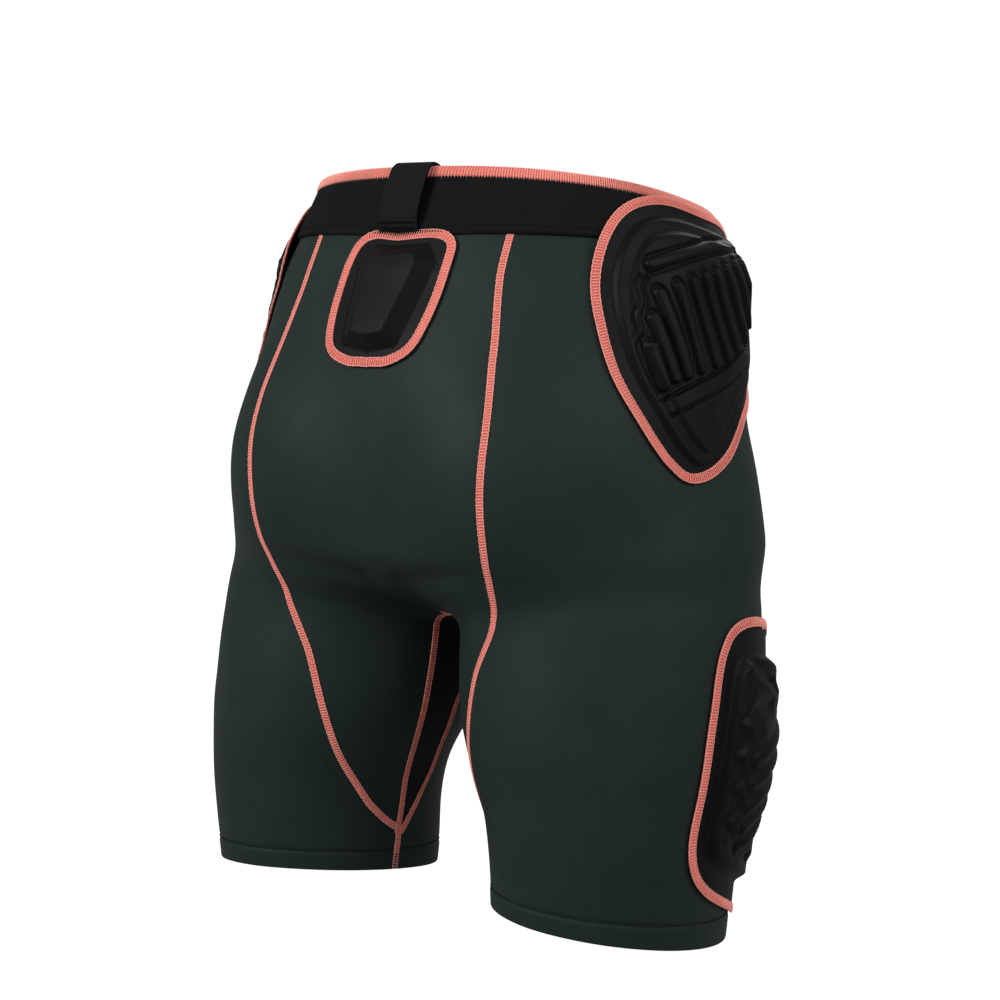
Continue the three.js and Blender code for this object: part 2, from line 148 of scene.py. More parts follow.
# Lower of two fields, rounded where they are close
def smoothUnion(a, b):
    near = np.maximum(garment["blend"] - np.abs(a - b), 0) / garment["blend"]
    return np.minimum(a, b) - near * near * garment["blend"] / 4


# Field of the body form, below zero inside: a squarish trunk, two oval legs, two seat muscles. Each
# is its scaled radius less one, times its least half size, and they are joined by rounded unions
def form(p):
    x, y, z = np.abs(p[..., 0]), p[..., 1], p[..., 2]
    width, dy = trunkHalf(z), p[..., 1] - trunkMiddle(z)
    depth = np.where(dy > 0, trunkBack(z) - trunkMiddle(z), trunkFront(z) + trunkMiddle(z))
    k = garment["squareness"]
    section = ((x / width) ** k + (np.abs(dy) / depth) ** k) ** (1 / k)
    drop = np.maximum(level(trunkEnd["level"]) - z, 0) / trunkEnd["round"]
    trunk = (np.hypot(section, drop) - 1) * np.minimum(width, depth)
    top = np.maximum(z - level(legTop["level"]), 0) / legTop["round"]
    half, deep = legHalf(z), legDepth(z)
    along = (y - legY(z)) / deep
    legs = [(np.sqrt(((x - s * legX(z)) / half) ** 2 + along ** 2 + top ** 2) - 1)
            * np.minimum(half, deep) for s in (1, -1)]
    back, up = (y - seat["y"]) / seat["depth"], (z - level(seat["level"])) / seat["height"]
    seats = [(np.sqrt(((x - s * seat["x"]) / seat["width"]) ** 2 + back ** 2 + up ** 2) - 1)
             * seat["width"] for s in (1, -1)]
    return smoothUnion(smoothUnion(trunk, smoothUnion(*legs)), smoothUnion(*seats))


# Distance from an inner point to the form, by halving
def castFrom(origin, direction, limit):
    limit = np.broadcast_to(np.asarray(limit, float), origin.shape[:-1])
    low, high = np.zeros(limit.shape), limit.copy()
    stays = form(origin + direction * high[..., None]) < 0
    for _ in range(halvings):
        middle = (low + high) / 2
        inside = form(origin + direction * middle[..., None]) < 0
        low, high = np.where(inside, middle, low), np.where(inside, high, middle)
    return np.where(stays, limit, (low + high) / 2)


# Outward direction of the form: its slope along X, Y and Z
def outward(p):
    steps = np.eye(3) * 0.5
    return unit(np.stack([form(p + s) - form(p - s) for s in steps], -1))


# Lowest point of the body on its middle plane: the least height among rays cast down from inside
def findCrotch():
    y = np.arange(-30, 51.0)
    start = np.stack([0 * y, y, 0 * y + level(0.6)], -1)
    z = start[:, 2] - castFrom(start, np.array([0, 0, -1.0]), inseam)
    lowest = np.argmin(z)
    return np.array([0, y[lowest], z[lowest]])


crotch = findCrotch()
downward = np.array([0, 0, -1.0])


# Cutting plane of each row: centre, sideways and backward directions, and the angles at which it
# meets the middle of the body behind and in front, each the arctangent of depth over distance. The
# plane tilts from level at the waist to the fold's tilt at the crotch, and back to the hem's
def rowFrames(v):
    onTrunk = v <= 1
    t, q = np.maximum(1 - v, 0), np.clip(v - 1, 0, 1)
    lean = np.where(onTrunk, fold * (1 - np.minimum(t, 1)) ** 1.2, fold * (1 - q) ** 1.6)
    tiltX = lean - math.radians(garment["hemTiltOut"]) * q ** 3
    tiltY = math.radians(garment["waistTilt"]) * np.maximum(t - 0.15, 0) / 0.85
    tiltY = tiltY + math.radians(garment["hemTiltBack"]) * q ** 3
    topX = float(legX(crotch[2]))
    legZ = between(q, crotch[2] + topX * math.tan(fold), level(2))
    jump = (topX - float(legX(crotch[2] + topX * math.tan(fold)))) * smooth(1 - 5 * q)
    x = np.where(onTrunk, between(np.minimum(t, 1), topX, 68), legX(legZ) + jump)
    z = np.where(onTrunk, crotch[2] * (1 - t) + x * np.tan(tiltX), legZ)
    legMiddle = between(np.minimum(q * 3, 1), crotch[1], legY(legZ))
    y = np.where(onTrunk, between(t, crotch[1], 2), legMiddle)
    centre = np.stack([x, y, z], -1)
    across = np.stack([np.cos(tiltX), 0 * x, np.sin(tiltX)], -1)
    back = np.stack([0 * x, np.cos(tiltY), np.sin(tiltY)], -1)
    reachIn = x / np.cos(tiltX)
    middle = centre - across * reachIn[:, None]
    behind = np.where(v < 1, np.arctan2(castFrom(middle, back, reach), reachIn), 0)
    front = np.where(v < 1, np.arctan2(castFrom(middle, -back, reach), reachIn), 0)
    return centre, across, back, behind, 2 * math.pi - front


# Points and normals of the form at (u, v): a ray from the row's centre, turned by u from the
# angle behind to the angle in front
def place(u, v):
    u, v = np.broadcast_arrays(np.asarray(u, float), np.asarray(v, float))
    rows, which = np.unique(v, return_inverse=True)
    centre, across, back, behind, front = [a[which.reshape(v.shape)] for a in rowFrames(rows)]
    angle = between(np.abs(u), behind, front)[..., None]
    direction = back * np.sin(angle) - across * np.cos(angle)
    inward = direction[..., 0] < -1e-9
    toMiddle = centre[..., 0] / np.where(inward, -direction[..., 0], 1)
    limit = np.where(inward, np.minimum(toMiddle, reach), reach)
    p = centre + direction * castFrom(centre, direction, limit)[..., None]
    atEnd = (np.abs(u) < 1e-9) | (np.abs(u) > 1 - 1e-9)
    p = np.where(((v == 1) & atEnd)[..., None], crotch, p)
    p[..., 0] = np.where((v < 1) & atEnd, 0, p[..., 0]) * np.where(u < 0, -1, 1)
    n = outward(p)
    n[..., 0] = np.where((v <= 1) & atEnd, 0, n[..., 0])
    return p, unit(n)


# Height of the cloth's own unevenness: low crossing waves, and a crease under each seat muscle
drape = {"wave": 0.35, "ripple": 0.16, "crease": 2.2, "creaseWidth": 7}


# Two products of sines, and a trough whose section is a bell curve along the crease line
def clothRelief(p):
    x, y, z = np.abs(p[..., 0]), p[..., 1], p[..., 2]
    wave = np.sin(x / 17 + 1.3 * np.sin(z / 37)) * np.sin(z / 29 + y / 43)
    ripple = np.sin(z / 9 + x / 15 - y / 21) * np.sin(x / 11 - z / 33 + 1)
    line = -232 + 0.25 * np.maximum(x - 18, 0) - 0.0016 * (x - 18) ** 2
    share = smooth((y - 40) / 40) * smooth((x - 2) / 14) * smooth((104 - x) / 50)
    crease = np.exp(-(((z - line) / drape["creaseWidth"]) ** 2)) * share
    return drape["wave"] * wave + drape["ripple"] * ripple - drape["crease"] * crease


print("form ready, crotch", crotch.round(1))


# Normals of a grid of points: the cross product of its two directions, turned to the form's side
def gridNormals(p, n):
    found = unit(np.cross(np.gradient(p, axis=1), np.gradient(p, axis=0)))
    return found * np.where(dot(found, n) < 0, -1, 1)[..., None]


# Triangles of a grid, as corners that each hold [place 3, normal 3, uv 2, thickness, edge]
def gridPatch(p, n, uv, thick, edge):
    data = np.concatenate([p, n, uv, thick[..., None], edge[..., None]], -1)
    a, b, c, d = data[:-1, :-1], data[:-1, 1:], data[1:, 1:], data[1:, :-1]
    patch = np.concatenate([np.stack([a, b, c], 2), np.stack([a, c, d], 2)]).reshape(-1, 3, 10)
    normal = np.cross(patch[:, 1, :3] - patch[:, 0, :3], patch[:, 2, :3] - patch[:, 0, :3])
    turned = dot(normal, patch[:, :, 3:6].sum(1)) < 0
    patch[turned] = patch[turned][:, ::-1]
    return patch


# The same patch on the other side: X changes sign, and the corners go round the other way
def mirrored(patch):
    other = patch[:, ::-1].copy()
    other[..., [0, 3]] *= -1
    return other


# Cuts each triangle where its value changes sign and keeps the positive side: one positive corner
# leaves a triangle, two leave a four-sided piece
def cutPatch(patch, value):
    inside = value > 0
    count = inside.sum(1)
    parts = [patch[count == 3]]
    for wanted in (1, 2):
        tri, val, ins = patch[count == wanted], value[count == wanted], inside[count == wanted]
        odd = np.argmax(ins if wanted == 1 else ~ins, axis=1)
        order = (odd[:, None] + np.arange(3)) % 3
        rows = np.arange(len(tri))[:, None]
        tri, val = tri[rows, order], val[rows, order]
        first, second = [tri[:, 0] + (tri[:, k] - tri[:, 0])
                         * (val[:, 0] / (val[:, 0] - val[:, k]))[:, None] for k in (1, 2)]
        if wanted == 1:
            parts.append(np.stack([tri[:, 0], first, second], 1))
        else:
            parts.append(np.stack([first, tri[:, 1], tri[:, 2]], 1))
            parts.append(np.stack([first, tri[:, 2], second], 1))
    return np.concatenate(parts)


# Mesh object from points in millimetres, turned to metres, and arrays of faces, each array with its
# own corner count, so that a face's loops start at the running sum of the counts before it
def makePiece(name, points, faces, materials, uv=None, normals=None, slots=None):
    mesh = bpy.data.meshes.new(name)
    corners = np.concatenate([f.ravel() for f in faces])
    sizes = np.concatenate([np.full(len(f), f.shape[1]) for f in faces])
    mesh.vertices.add(len(points))
    mesh.vertices.foreach_set("co", (points * 0.001).astype(np.float32).ravel())
    mesh.loops.add(len(corners))
    mesh.loops.foreach_set("vertex_index", corners.astype(np.int32))
    mesh.polygons.add(len(sizes))
    mesh.polygons.foreach_set("loop_start", (np.cumsum(sizes) - sizes).astype(np.int32))
    mesh.update(calc_edges=True)
    mesh.polygons.foreach_set("use_smooth", np.ones(len(sizes), bool))
    if slots is not None:
        mesh.polygons.foreach_set("material_index", slots.astype(np.int32))
    if uv is not None:
        layer = mesh.uv_layers.new(name="UVMap")
        layer.uv.foreach_set("vector", uv.astype(np.float32).ravel())
    if normals is not None:
        mesh.normals_split_custom_set(unit(normals).astype(np.float32))
    for material in materials:
        mesh.materials.append(material)
    piece = bpy.data.objects.new(name, mesh)
    bpy.context.scene.collection.objects.link(piece)
    return piece


# Closed piece from a patch: its outer skin, the same skin sunk by the thickness, and a rim of
# four-sided faces wherever an edge has no neighbour
def closedPiece(name, patch, materials):
    n = unit(patch[..., 3:6])
    keys = np.round(patch[..., :3] * 1e4).astype(np.int64).reshape(-1, 3)
    _, first, which = np.unique(keys, axis=0, return_index=True, return_inverse=True)
    ids = which.reshape(-1, 3)
    whole = (ids[:, 0] != ids[:, 1]) & (ids[:, 1] != ids[:, 2]) & (ids[:, 0] != ids[:, 2])
    ids, patch, n = ids[whole], patch[whole], n[whole]
    count = len(first)
    edges = np.concatenate([ids[:, [0, 1]], ids[:, [1, 2]], ids[:, [2, 0]]])
    free = edges[~np.isin(edges[:, 0] * count + edges[:, 1], edges[:, 1] * count + edges[:, 0])]
    place3, normal3, thick3 = np.zeros((count, 3)), np.zeros((count, 3)), np.zeros((count, 1))
    place3[ids], normal3[ids], thick3[ids] = patch[..., :3], n, patch[..., 8:9]
    uv1 = np.zeros((count, 2))
    uv1[ids] = patch[..., 6:8]
    points = np.concatenate([place3, place3 - unit(normal3) * thick3])
    rim = np.stack([free[:, 1], free[:, 0], free[:, 0] + count, free[:, 1] + count], 1)
    a, b, c = points[rim[:, 0]], points[rim[:, 1]], points[rim[:, 3]]
    rimNormal = np.repeat(np.cross(b - a, c - a), 4, axis=0)
    normals = np.concatenate([n.reshape(-1, 3), -n[:, ::-1].reshape(-1, 3), rimNormal])
    skin = patch[..., 6:8]
    uv = np.concatenate([skin.reshape(-1, 2), skin[:, ::-1].reshape(-1, 2),
                         uv1[rim % count].reshape(-1, 2)])
    piece = makePiece(name, points, [ids, ids[:, ::-1] + count, rim], materials, uv, normals)
    side = patch[:, 1:, :3] - patch[:, :1, :3]
    area = np.linalg.norm(np.cross(side[:, 0], side[:, 1]), axis=1).sum() / 2e6
    print(f"{name}: {2 * len(ids) + 2 * len(rim)} triangles, skin {area:.4f} m2")
    return piece


# Loft of rings (rings, points, 3), closed round each ring; the ends are capped or joined up
def loft(rings, joined=False):
    count, size = rings.shape[:2]
    index = np.arange(count * size).reshape(count, size)
    across = np.roll(index, -1, axis=1)
    if joined:
        a, b = index, np.roll(index, -1, axis=0)
        c, d = np.roll(b, -1, axis=1), across
        return [np.stack([d, c, b, a], -1).reshape(-1, 4)]
    a, b, c, d = index[:-1], index[1:], across[1:], across[:-1]
    return [np.stack([d, c, b, a], -1).reshape(-1, 4), index[:1, ::-1], index[-1:]]


# Thread tubes along many short lines (threads, points, 3): each point gets a ring of four across
# the thread, small at both ends
def threadTubes(lines, normals, radius, taper=True):
    along = unit(np.gradient(lines, axis=1))
    side = unit(np.cross(along, normals))
    up = np.cross(side, along)
    count = lines.shape[1]
    size = np.full(count, radius)
    if taper:
        size[[0, -1]] *= 0.45
    turn = np.arange(4) * math.pi / 2
    ring = (side[:, :, None] * np.cos(turn)[:, None] + up[:, :, None] * np.sin(turn)[:, None])
    points = lines[:, :, None] + ring * size[:, None, None]
    index = np.arange(lines.shape[0] * count * 4).reshape(-1, count, 4)
    after = np.roll(index, -1, axis=2)
    walls = np.stack([index[:, 1:], after[:, 1:], after[:, :-1], index[:, :-1]], -1)
    caps = np.concatenate([index[:, 0], index[:, -1, ::-1]])
    return points.reshape(-1, 3), np.concatenate([walls.reshape(-1, 4), caps])


# Points moved to even steps along their line
def evenly(points, step, closed=False):
    if closed:
        points = np.concatenate([points, points[:1]])
    run = np.concatenate([[0], np.cumsum(np.linalg.norm(np.diff(points, axis=0), axis=1))])
    count = max(int(round(run[-1] / step)), 2)
    at = np.linspace(0, run[-1], count + 1)
    if closed:
        at = at[:-1]
    return np.stack([np.interp(at, run, points[:, k]) for k in range(3)], -1)


# Smooth closed or open curve through points: the Catmull-Rom cubic of each stretch
def throughPoints(points, steps, closed=True):
    p = np.asarray(points, float)
    if not closed:
        p = np.concatenate([2 * p[:1] - p[1:2], p, 2 * p[-1:] - p[-2:-1]])
    a, b, c, d = [np.roll(p, -k, axis=0) for k in range(-1, 3)]
    if not closed:
        a, b, c, d = p[:-3], p[1:-2], p[2:-1], p[3:]
    t = np.linspace(0, 1, steps, endpoint=False)[None, :, None]
    a, b, c, d = [x[:, None] for x in (a, b, c, d)]
    line = 0.5 * (2 * b + (c - a) * t + (2 * a - 5 * b + 4 * c - d) * t ** 2
                  + (3 * b - a - 3 * c + d) * t ** 3)
    line = line.reshape(-1, p.shape[1])
    return line if closed else np.concatenate([line, p[-2:-1]])


# Linear colour from a hex one: over 12.92 where dark, else the 2.4th power of the shifted share
def colour(code):
    parts = [int(code[k:k + 2], 16) / 255 for k in (1, 3, 5)]
    return [x / 12.92 if x <= 0.04045 else ((x + 0.055) / 1.055) ** 2.4 for x in parts] + [1]


# Adds a node with its settings; an input is a value, or a socket to link from
def addNode(tree, kind, inputs=None, **settings):
    node = tree.nodes.new(kind)
    for key, value in settings.items():
        setattr(node, key, value)
    for key, value in (inputs or {}).items():
        if isinstance(value, bpy.types.NodeSocket):
            tree.links.new(value, node.inputs[key])
        else:
            node.inputs[key].default_value = value
    return node


# Cloth: two colours mixed by a soft mottle and by the knit itself, and a bump from crossed waves.
# One wave of the texture is 0.314 units over its scale, so a pitch in metres gives the scale
def clothMaterial(name, dark, light, pitch, bump, roughness, sheen, tint, coordinate="UV",
                  mottle=45, blotch=0.35, specular=0.06, knitShare=0.45):
    material = bpy.data.materials.new(name)
    material.use_nodes = True
    tree = material.node_tree
    shader = tree.nodes["Principled BSDF"]
    where = addNode(tree, "ShaderNodeTexCoord")
    waves = []
    for direction, size in zip("XY", pitch):
        waves.append(addNode(tree, "ShaderNodeTexWave", {
            "Vector": where.outputs[coordinate], "Scale": 0.314 / size, "Distortion": 0.6,
            "Detail": 1.0, "Detail Scale": 3.0}, wave_type="BANDS", bands_direction=direction))
    knit = addNode(tree, "ShaderNodeMath", {
        0: waves[0].outputs["Fac"], 1: waves[1].outputs["Fac"]}, operation="MULTIPLY")
    soft = addNode(tree, "ShaderNodeTexNoise", {
        "Vector": where.outputs["Object"], "Scale": mottle, "Detail": 4.0, "Roughness": 0.65})
    grain = addNode(tree, "ShaderNodeTexNoise", {
        "Vector": where.outputs["Object"], "Scale": 900.0, "Detail": 2.0})
    mixed = addNode(tree, "ShaderNodeMath", {
        0: soft.outputs["Fac"], 1: blotch, 2: 0.5 - blotch / 2}, operation="MULTIPLY_ADD")
    shared = addNode(tree, "ShaderNodeMath", {
        0: knit.outputs[0], 1: knitShare, 2: mixed.outputs[0]}, operation="MULTIPLY_ADD")
    speck = addNode(tree, "ShaderNodeMath", {
        0: grain.outputs["Fac"], 1: 0.5, 2: shared.outputs[0]}, operation="MULTIPLY_ADD")
    share = addNode(tree, "ShaderNodeMath", {0: speck.outputs[0], 1: 0.35}, operation="SUBTRACT",
                    use_clamp=True)
    blend = addNode(tree, "ShaderNodeMix", {
        "Factor": share.outputs[0], "A": colour(dark), "B": colour(light)}, data_type="RGBA")
    tree.links.new(blend.outputs["Result"], shader.inputs["Base Color"])
    height = addNode(tree, "ShaderNodeMath", {
        0: grain.outputs["Fac"], 1: 0.6, 2: knit.outputs[0]}, operation="MULTIPLY_ADD")
    relief = addNode(tree, "ShaderNodeBump", {
        "Strength": bump, "Distance": 0.0004, "Height": height.outputs[0]})
    tree.links.new(relief.outputs["Normal"], shader.inputs["Normal"])
    shader.inputs["Roughness"].default_value = roughness
    shader.inputs["Sheen Weight"].default_value = sheen
    shader.inputs["Sheen Roughness"].default_value = 0.45
    shader.inputs["Sheen Tint"].default_value = colour(tint)
    shader.inputs["Specular IOR Level"].default_value = specular
    return material


# Polyamide-elastane jersey, warp knitted and piece dyed: an even dark green-grey with a soft
# sheen. Its wales are 0.5 mm apart, too fine to show, so they are drawn 1.5 mm apart
shellJersey = clothMaterial("polyamide elastane jersey", "#192522", "#283632", (0.0015, 0.0013),
                            0.15, 0.55, 0.02, "#a9bab5", specular=0.12, mottle=22, blotch=0.6,
                            knitShare=0.12)
# The same jersey dyed black for the gusset, flatter because it is brushed inside
gussetJersey = clothMaterial("black brushed jersey", "#191a1c", "#262729", (0.0015, 0.0013),
                             0.25, 0.75, 0.0, "#8a8f90")
# Black knitted band cloth folded over the elastic: dense, matt, with fine upright ribs
bandJersey = clothMaterial("black rib knit", "#111112", "#1b1b1c", (0.0018, 0.003),
                           0.3, 0.8, 0.0, "#808386")
# Polyester knit bonded to the foam and heat moulded: tight, dull black, faint gloss on edges
mouldedJersey = clothMaterial("heat-moulded polyester knit", "#08080a", "#111113", (0.0013, 0.0013),
                              0.2, 0.5, 0.01, "#8c8f93", specular=0.12)
# Woven polypropylene tape: crosswise picks 1.6 mm apart between upright warps
tapeWeave = clothMaterial("woven polypropylene tape", "#111112", "#202021", (0.0022, 0.0016),
                          0.55, 0.7, 0.02, "#808080")
# Textured polyester seam thread in coral, loose and fluffy, so it takes light evenly
coralThread = clothMaterial("coral textured polyester thread", "#fb8a7a", "#ffbdb2",
                            (0.0006, 0.0006), 0.3, 0.7, 0.12, "#ffd0c8", "Object", 160, 0.5)
# The same thread below the rungs, packed down; its colours are painted darker than the rungs' as
# painted shade from the rungs over it
coralShadedBed = clothMaterial("coral thread bed painted shade", "#dc6c60", "#f89082", (0.0008, 0.0008), 0.3, 0.85,
                         0.05, "#ffb0a6", "Object", 120, 0.5)
# Spun polyester sewing thread, dyed to the cloth
darkThread = clothMaterial("dark spun polyester thread", "#111716", "#1d2523",
                           (0.0006, 0.0006), 0.3, 0.7, 0.1, "#90a09c", "Object", 160, 0.5)
blackThread = clothMaterial("black spun polyester thread", "#101010", "#1d1d1e",
                            (0.0006, 0.0006), 0.3, 0.7, 0.1, "#909090", "Object", 160, 0.5)
# Knitted elastic: off-white polyester over rubber, ribbed across its width
elasticKnit = clothMaterial("knitted elastic", "#c9c6bd", "#e2dfd6", (0.003, 0.003),
                            0.6, 0.85, 0.1, "#ffffff", "Object", 60, 0.3)
print("materials ready")

# Sign of X on each side: plus on the left, minus on the right
sides = {"left": 1, "right": -1}


# Bakes a piece's transform into its mesh
def swing(piece):
    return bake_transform(piece)


seams = {
    "back": [[-0.1, 74], [0.17, 76], [0.36, 85], [0.5, 91], [0.65, 91], [0.8, 89], [0.95, 82],
             [1.1, 68], [1.3, 60], [1.5, 56], [1.68, 51], [1.8, 46]],
    "gussetBack": [[1, 52], [1.15, 55], [1.3, 57], [1.52, 55], [1.7, 54], [1.82, 57]],
    "gussetFront": [[1, -32], [1.12, 5], [1.3, 26], [1.45, 27], [1.6, 28], [1.72, 40], [1.82, 54]],
    "gap": 0.15, "gussetTop": 0.92, "innerWall": 78, "apex": 1.82,
    "backTop": -18, "backEnd": 1.8, "inseamEnd": -437, "inseamBack": 58, "crotchSeam": 14,
}
seamX = stationCurve(seams["back"])
gussetRear = stationCurve(seams["gussetBack"])
gussetFore = stationCurve(seams["gussetFront"])


# How far a point lies inside the back panel and inside the gusset
def panelFields(p):
    x, y, z = np.abs(p[..., 0]), p[..., 1], p[..., 2]
    back = np.minimum(seamX(z) - x, y - gussetRear(z))
    gusset = np.minimum(np.minimum(y - gussetFore(z), gussetRear(z) - y),
                        np.minimum(seams["innerWall"] - x, level(seams["gussetTop"]) - z))
    return back, gusset


# Columns as u for each row. Their angles are even round a leg; on the trunk they bend away from the
# middle as the two sides of a hyperbola, so that they run on smoothly past the crotch
def columnsOf(v, count):
    behind, front = [a[:, None] for a in rowFrames(v)[3:]]
    even = np.linspace(0, 2 * math.pi, count)[None, :]
    fromBack = np.hypot(even, behind)
    fromFront = 2 * math.pi - np.hypot(2 * math.pi - even, 2 * math.pi - front)
    angle = between(smooth(even / (2 * math.pi)), fromBack, fromFront)
    return np.clip((angle - behind) / (front - behind), 0, 1)


# Rows and columns of the cloth, the tuck under the band and the raised fold at the hem
grid = {
    "trunkRows": 96, "crowding": 1.4, "legRows": 54, "hemRows": 17, "edgeRows": 5, "columns": 170,
    "tuckUnder": 3, "tuckThickness": 0.6, "hemZone": 15, "foldRise": 0.5, "foldLayer": 1.1,
    "stitchDent": 0.55, "dentWidth": 1.1, "halfGirth": 0.48,
}


# Left half of the cloth as one grid. Rows crowd towards the crotch and the hem; the hem's last
# millimetre follows a half circle, and its fold stands a little proud below the stitch line
def clothGrid():
    top = bandV - grid["tuckUnder"] / rise
    trunkV = 1 - (1 - top) * np.linspace(1, 0, grid["trunkRows"]) ** grid["crowding"]
    legV = np.linspace(1, 2 - grid["hemZone"] / inseam, grid["legRows"])[1:]
    edge = fabric
    turned = np.sin(np.linspace(0.25, math.pi / 2, grid["edgeRows"]))
    fine = np.concatenate([np.linspace(grid["hemZone"], edge, grid["hemRows"])[1:],
                           edge * (1 - turned)])
    v = np.concatenate([trunkV, legV, 2 - fine / inseam])[:, None]
    u = columnsOf(v[:, 0], grid["columns"])
    p, n = place(u, v)
    toHem = (2 - v) * inseam
    near = np.clip(1 - toHem / edge, 0, 1)
    tuck = edge - edge * np.sqrt(np.maximum(1 - near ** 2, 0))
    onFold = smooth((garment["hemFold"] - toHem) / 2)
    stitchLine = (toHem - garment["hemFold"] - 0.6) / grid["dentWidth"]
    dent = grid["stitchDent"] * np.exp(-stitchLine ** 2)
    lift = fabric + clothRelief(p) + grid["foldRise"] * onFold - dent - tuck
    outer = p + n * lift[..., None]
    normals = gridNormals(outer, n)
    onTrunk = (v <= 1)[:, 0]
    normals[onTrunk, 0, 0] = 0
    normals[onTrunk, -1, 0] = 0
    joined = unit(normals[~onTrunk, 0] + normals[~onTrunk, -1])
    normals[~onTrunk, 0] = joined
    normals[~onTrunk, -1] = joined
    outer[~onTrunk, -1] = outer[~onTrunk, 0]
    folded = fabric + grid["foldLayer"] * onFold
    thick = np.maximum(folded * np.sqrt(np.maximum(1 - near ** 2, 0)), 0.3) + 0 * u
    thick = np.where(v < bandV + 0.001, grid["tuckThickness"], thick)
    down = np.where(v < 1, v * rise, rise + (v - 1) * inseam) * 0.001
    uv = np.stack([u * grid["halfGirth"] + 0 * v, down + 0 * u], -1)
    return gridPatch(outer, unit(normals), uv, thick, 0 * u + 0 * v)


cloth = clothGrid()
backField, gussetField = panelFields(cloth[..., :3])
gap = seams["gap"]
patches = {
    "back_panel": cutPatch(cloth, backField - gap),
    "gusset": cutPatch(cloth, gussetField - gap),
    "side_panel": cutPatch(cloth, -np.maximum(backField, gussetField) - gap),
}
# Flat sizes in metres: the box each half panel is cut from, and its area before it is worn
sheets = {
    "back_panel": {
        "material": shellJersey, "slot": "shell_knit", "flat": (0.11, 0.42), "area": 0.03},
    "side_panel": {
        "material": shellJersey, "slot": "shell_knit", "flat": (0.46, 0.45), "area": 0.161},
    "gusset": {
        "material": gussetJersey, "slot": "gusset_knit", "flat": (0.06, 0.16), "area": 0.0062},
}
shared = {"back_panel": "back_panel_seat", "gusset": "gusset_crotch"}
for kind, facts in sheets.items():
    for word, side in sides.items():
        patch = patches[kind] if side > 0 else mirrored(patches[kind])
        piece = closedPiece(f"{kind}_{word}", patch, [facts["material"]])
        swing(piece)
        first = shared.get(kind, f"side_panel_hip_{word}")
        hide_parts(first, f"{kind}_bend_{word}", f"{kind}_leg_{word}")
print("cloth ready")

# Coral flatlock: a low bed, two edge threads and rungs across
flatlock = {
    "width": 4.1, "narrow": 3.8, "pitch": 1.75, "rung": 0.4, "bed": 0.35, "slant": 0.5,
    "edge": 0.4, "overhang": 1.03, "arch": 0.28, "wobble": 0.14, "edgeIn": 0.93, "edgeUp": 0.12,
}


# Bed, edge threads and rungs along a line on the form. The bed's profile is a flat arch; rungs
# arch over it from edge to edge, a pitch apart
def flatlockAlong(base, lift, closed=False, width=None, shift=0.0):
    width = width or flatlock["width"]
    base = evenly(base, flatlock["pitch"], closed)
    n = outward(base)
    middle = base + n * (lift(base) + clothRelief(base))[:, None]
    padded = np.concatenate([middle[-1:], middle, middle[:1]]) if closed else middle
    along = unit(np.gradient(padded, axis=0))
    along = along[1:-1] if closed else along
    across = unit(np.cross(n, along))
    middle = middle + across * shift
    span = np.array([-1, -0.85, -0.4, 0, 0.4, 0.85, 1, 1, -1])
    crown = np.array([0.1, 0.8, 1, 1, 1, 0.8, 0.1, -0.8, -0.8]) * flatlock["bed"]
    rings = (middle[:, None] + across[:, None] * (span * width / 2)[:, None]
             + n[:, None] * crown[:, None])[:, ::-1]
    bedFaces = loft(rings, closed)
    s = np.array([-1, -0.6, 0, 0.6, 1]) * width / 2 * flatlock["overhang"]
    high = np.array([0.0, 1, 1.15, 1, 0.0]) * (flatlock["bed"] + flatlock["arch"])
    lean = np.linspace(-0.5, 0.5, 5) * flatlock["slant"]
    rungs = (middle[:, None] + across[:, None] * s[:, None] + n[:, None] * high[:, None]
             + along[:, None] * lean[:, None])
    rungPoints, rungFaces = threadTubes(rungs, np.repeat(n[:, None], 5, axis=1), flatlock["rung"])
    # Slot 1, the bed, takes the darker coral copy, whose colour is painted shade under the rungs
    parts = [(rings.reshape(-1, 3), bedFaces, 1), (rungPoints, [rungFaces], 0)]
    even = np.arange(len(middle)) % 2 == 0
    wobble = np.where(even, flatlock["wobble"], -flatlock["wobble"])[:, None]
    lifted = n * (flatlock["bed"] + flatlock["edgeUp"])
    for sign in (-1, 1):
        line = middle + across * (sign * width / 2 * flatlock["edgeIn"] + wobble) + lifted
        if closed:
            line = np.concatenate([line, line[:1]])
        normal = np.concatenate([n, n[:1]]) if closed else n
        points, faces = threadTubes(line[None], normal[None], flatlock["edge"], taper=False)
        parts.append((points, [faces], 0))
    return parts


# Joins parts (points, faces, material number) into one mesh: each part's face numbers are raised
# by the points before it, and X changes sign on the other side
def joinParts(name, parts, materials, flip=False):
    points, faces, slots, start = [], [], [], 0
    for p, groups, slot in parts:
        points.append(p * [-1, 1, 1] if flip else p)
        for f in groups:
            faces.append((f[:, ::-1] if flip else f) + start)
            slots.append(np.full(len(f), slot))
        start += len(p)
    piece = makePiece(name, np.concatenate(points), faces, materials, slots=np.concatenate(slots))
    print(f"{name}: {sum(len(f) * (f.shape[1] - 2) for f in faces)} triangles")
    return piece


# Where rays meet the form: each start plus its direction times the distance found
def castPath(start, direction, limit):
    direction = np.array(direction, float)
    return start + direction * castFrom(start, direction, limit)[:, None]


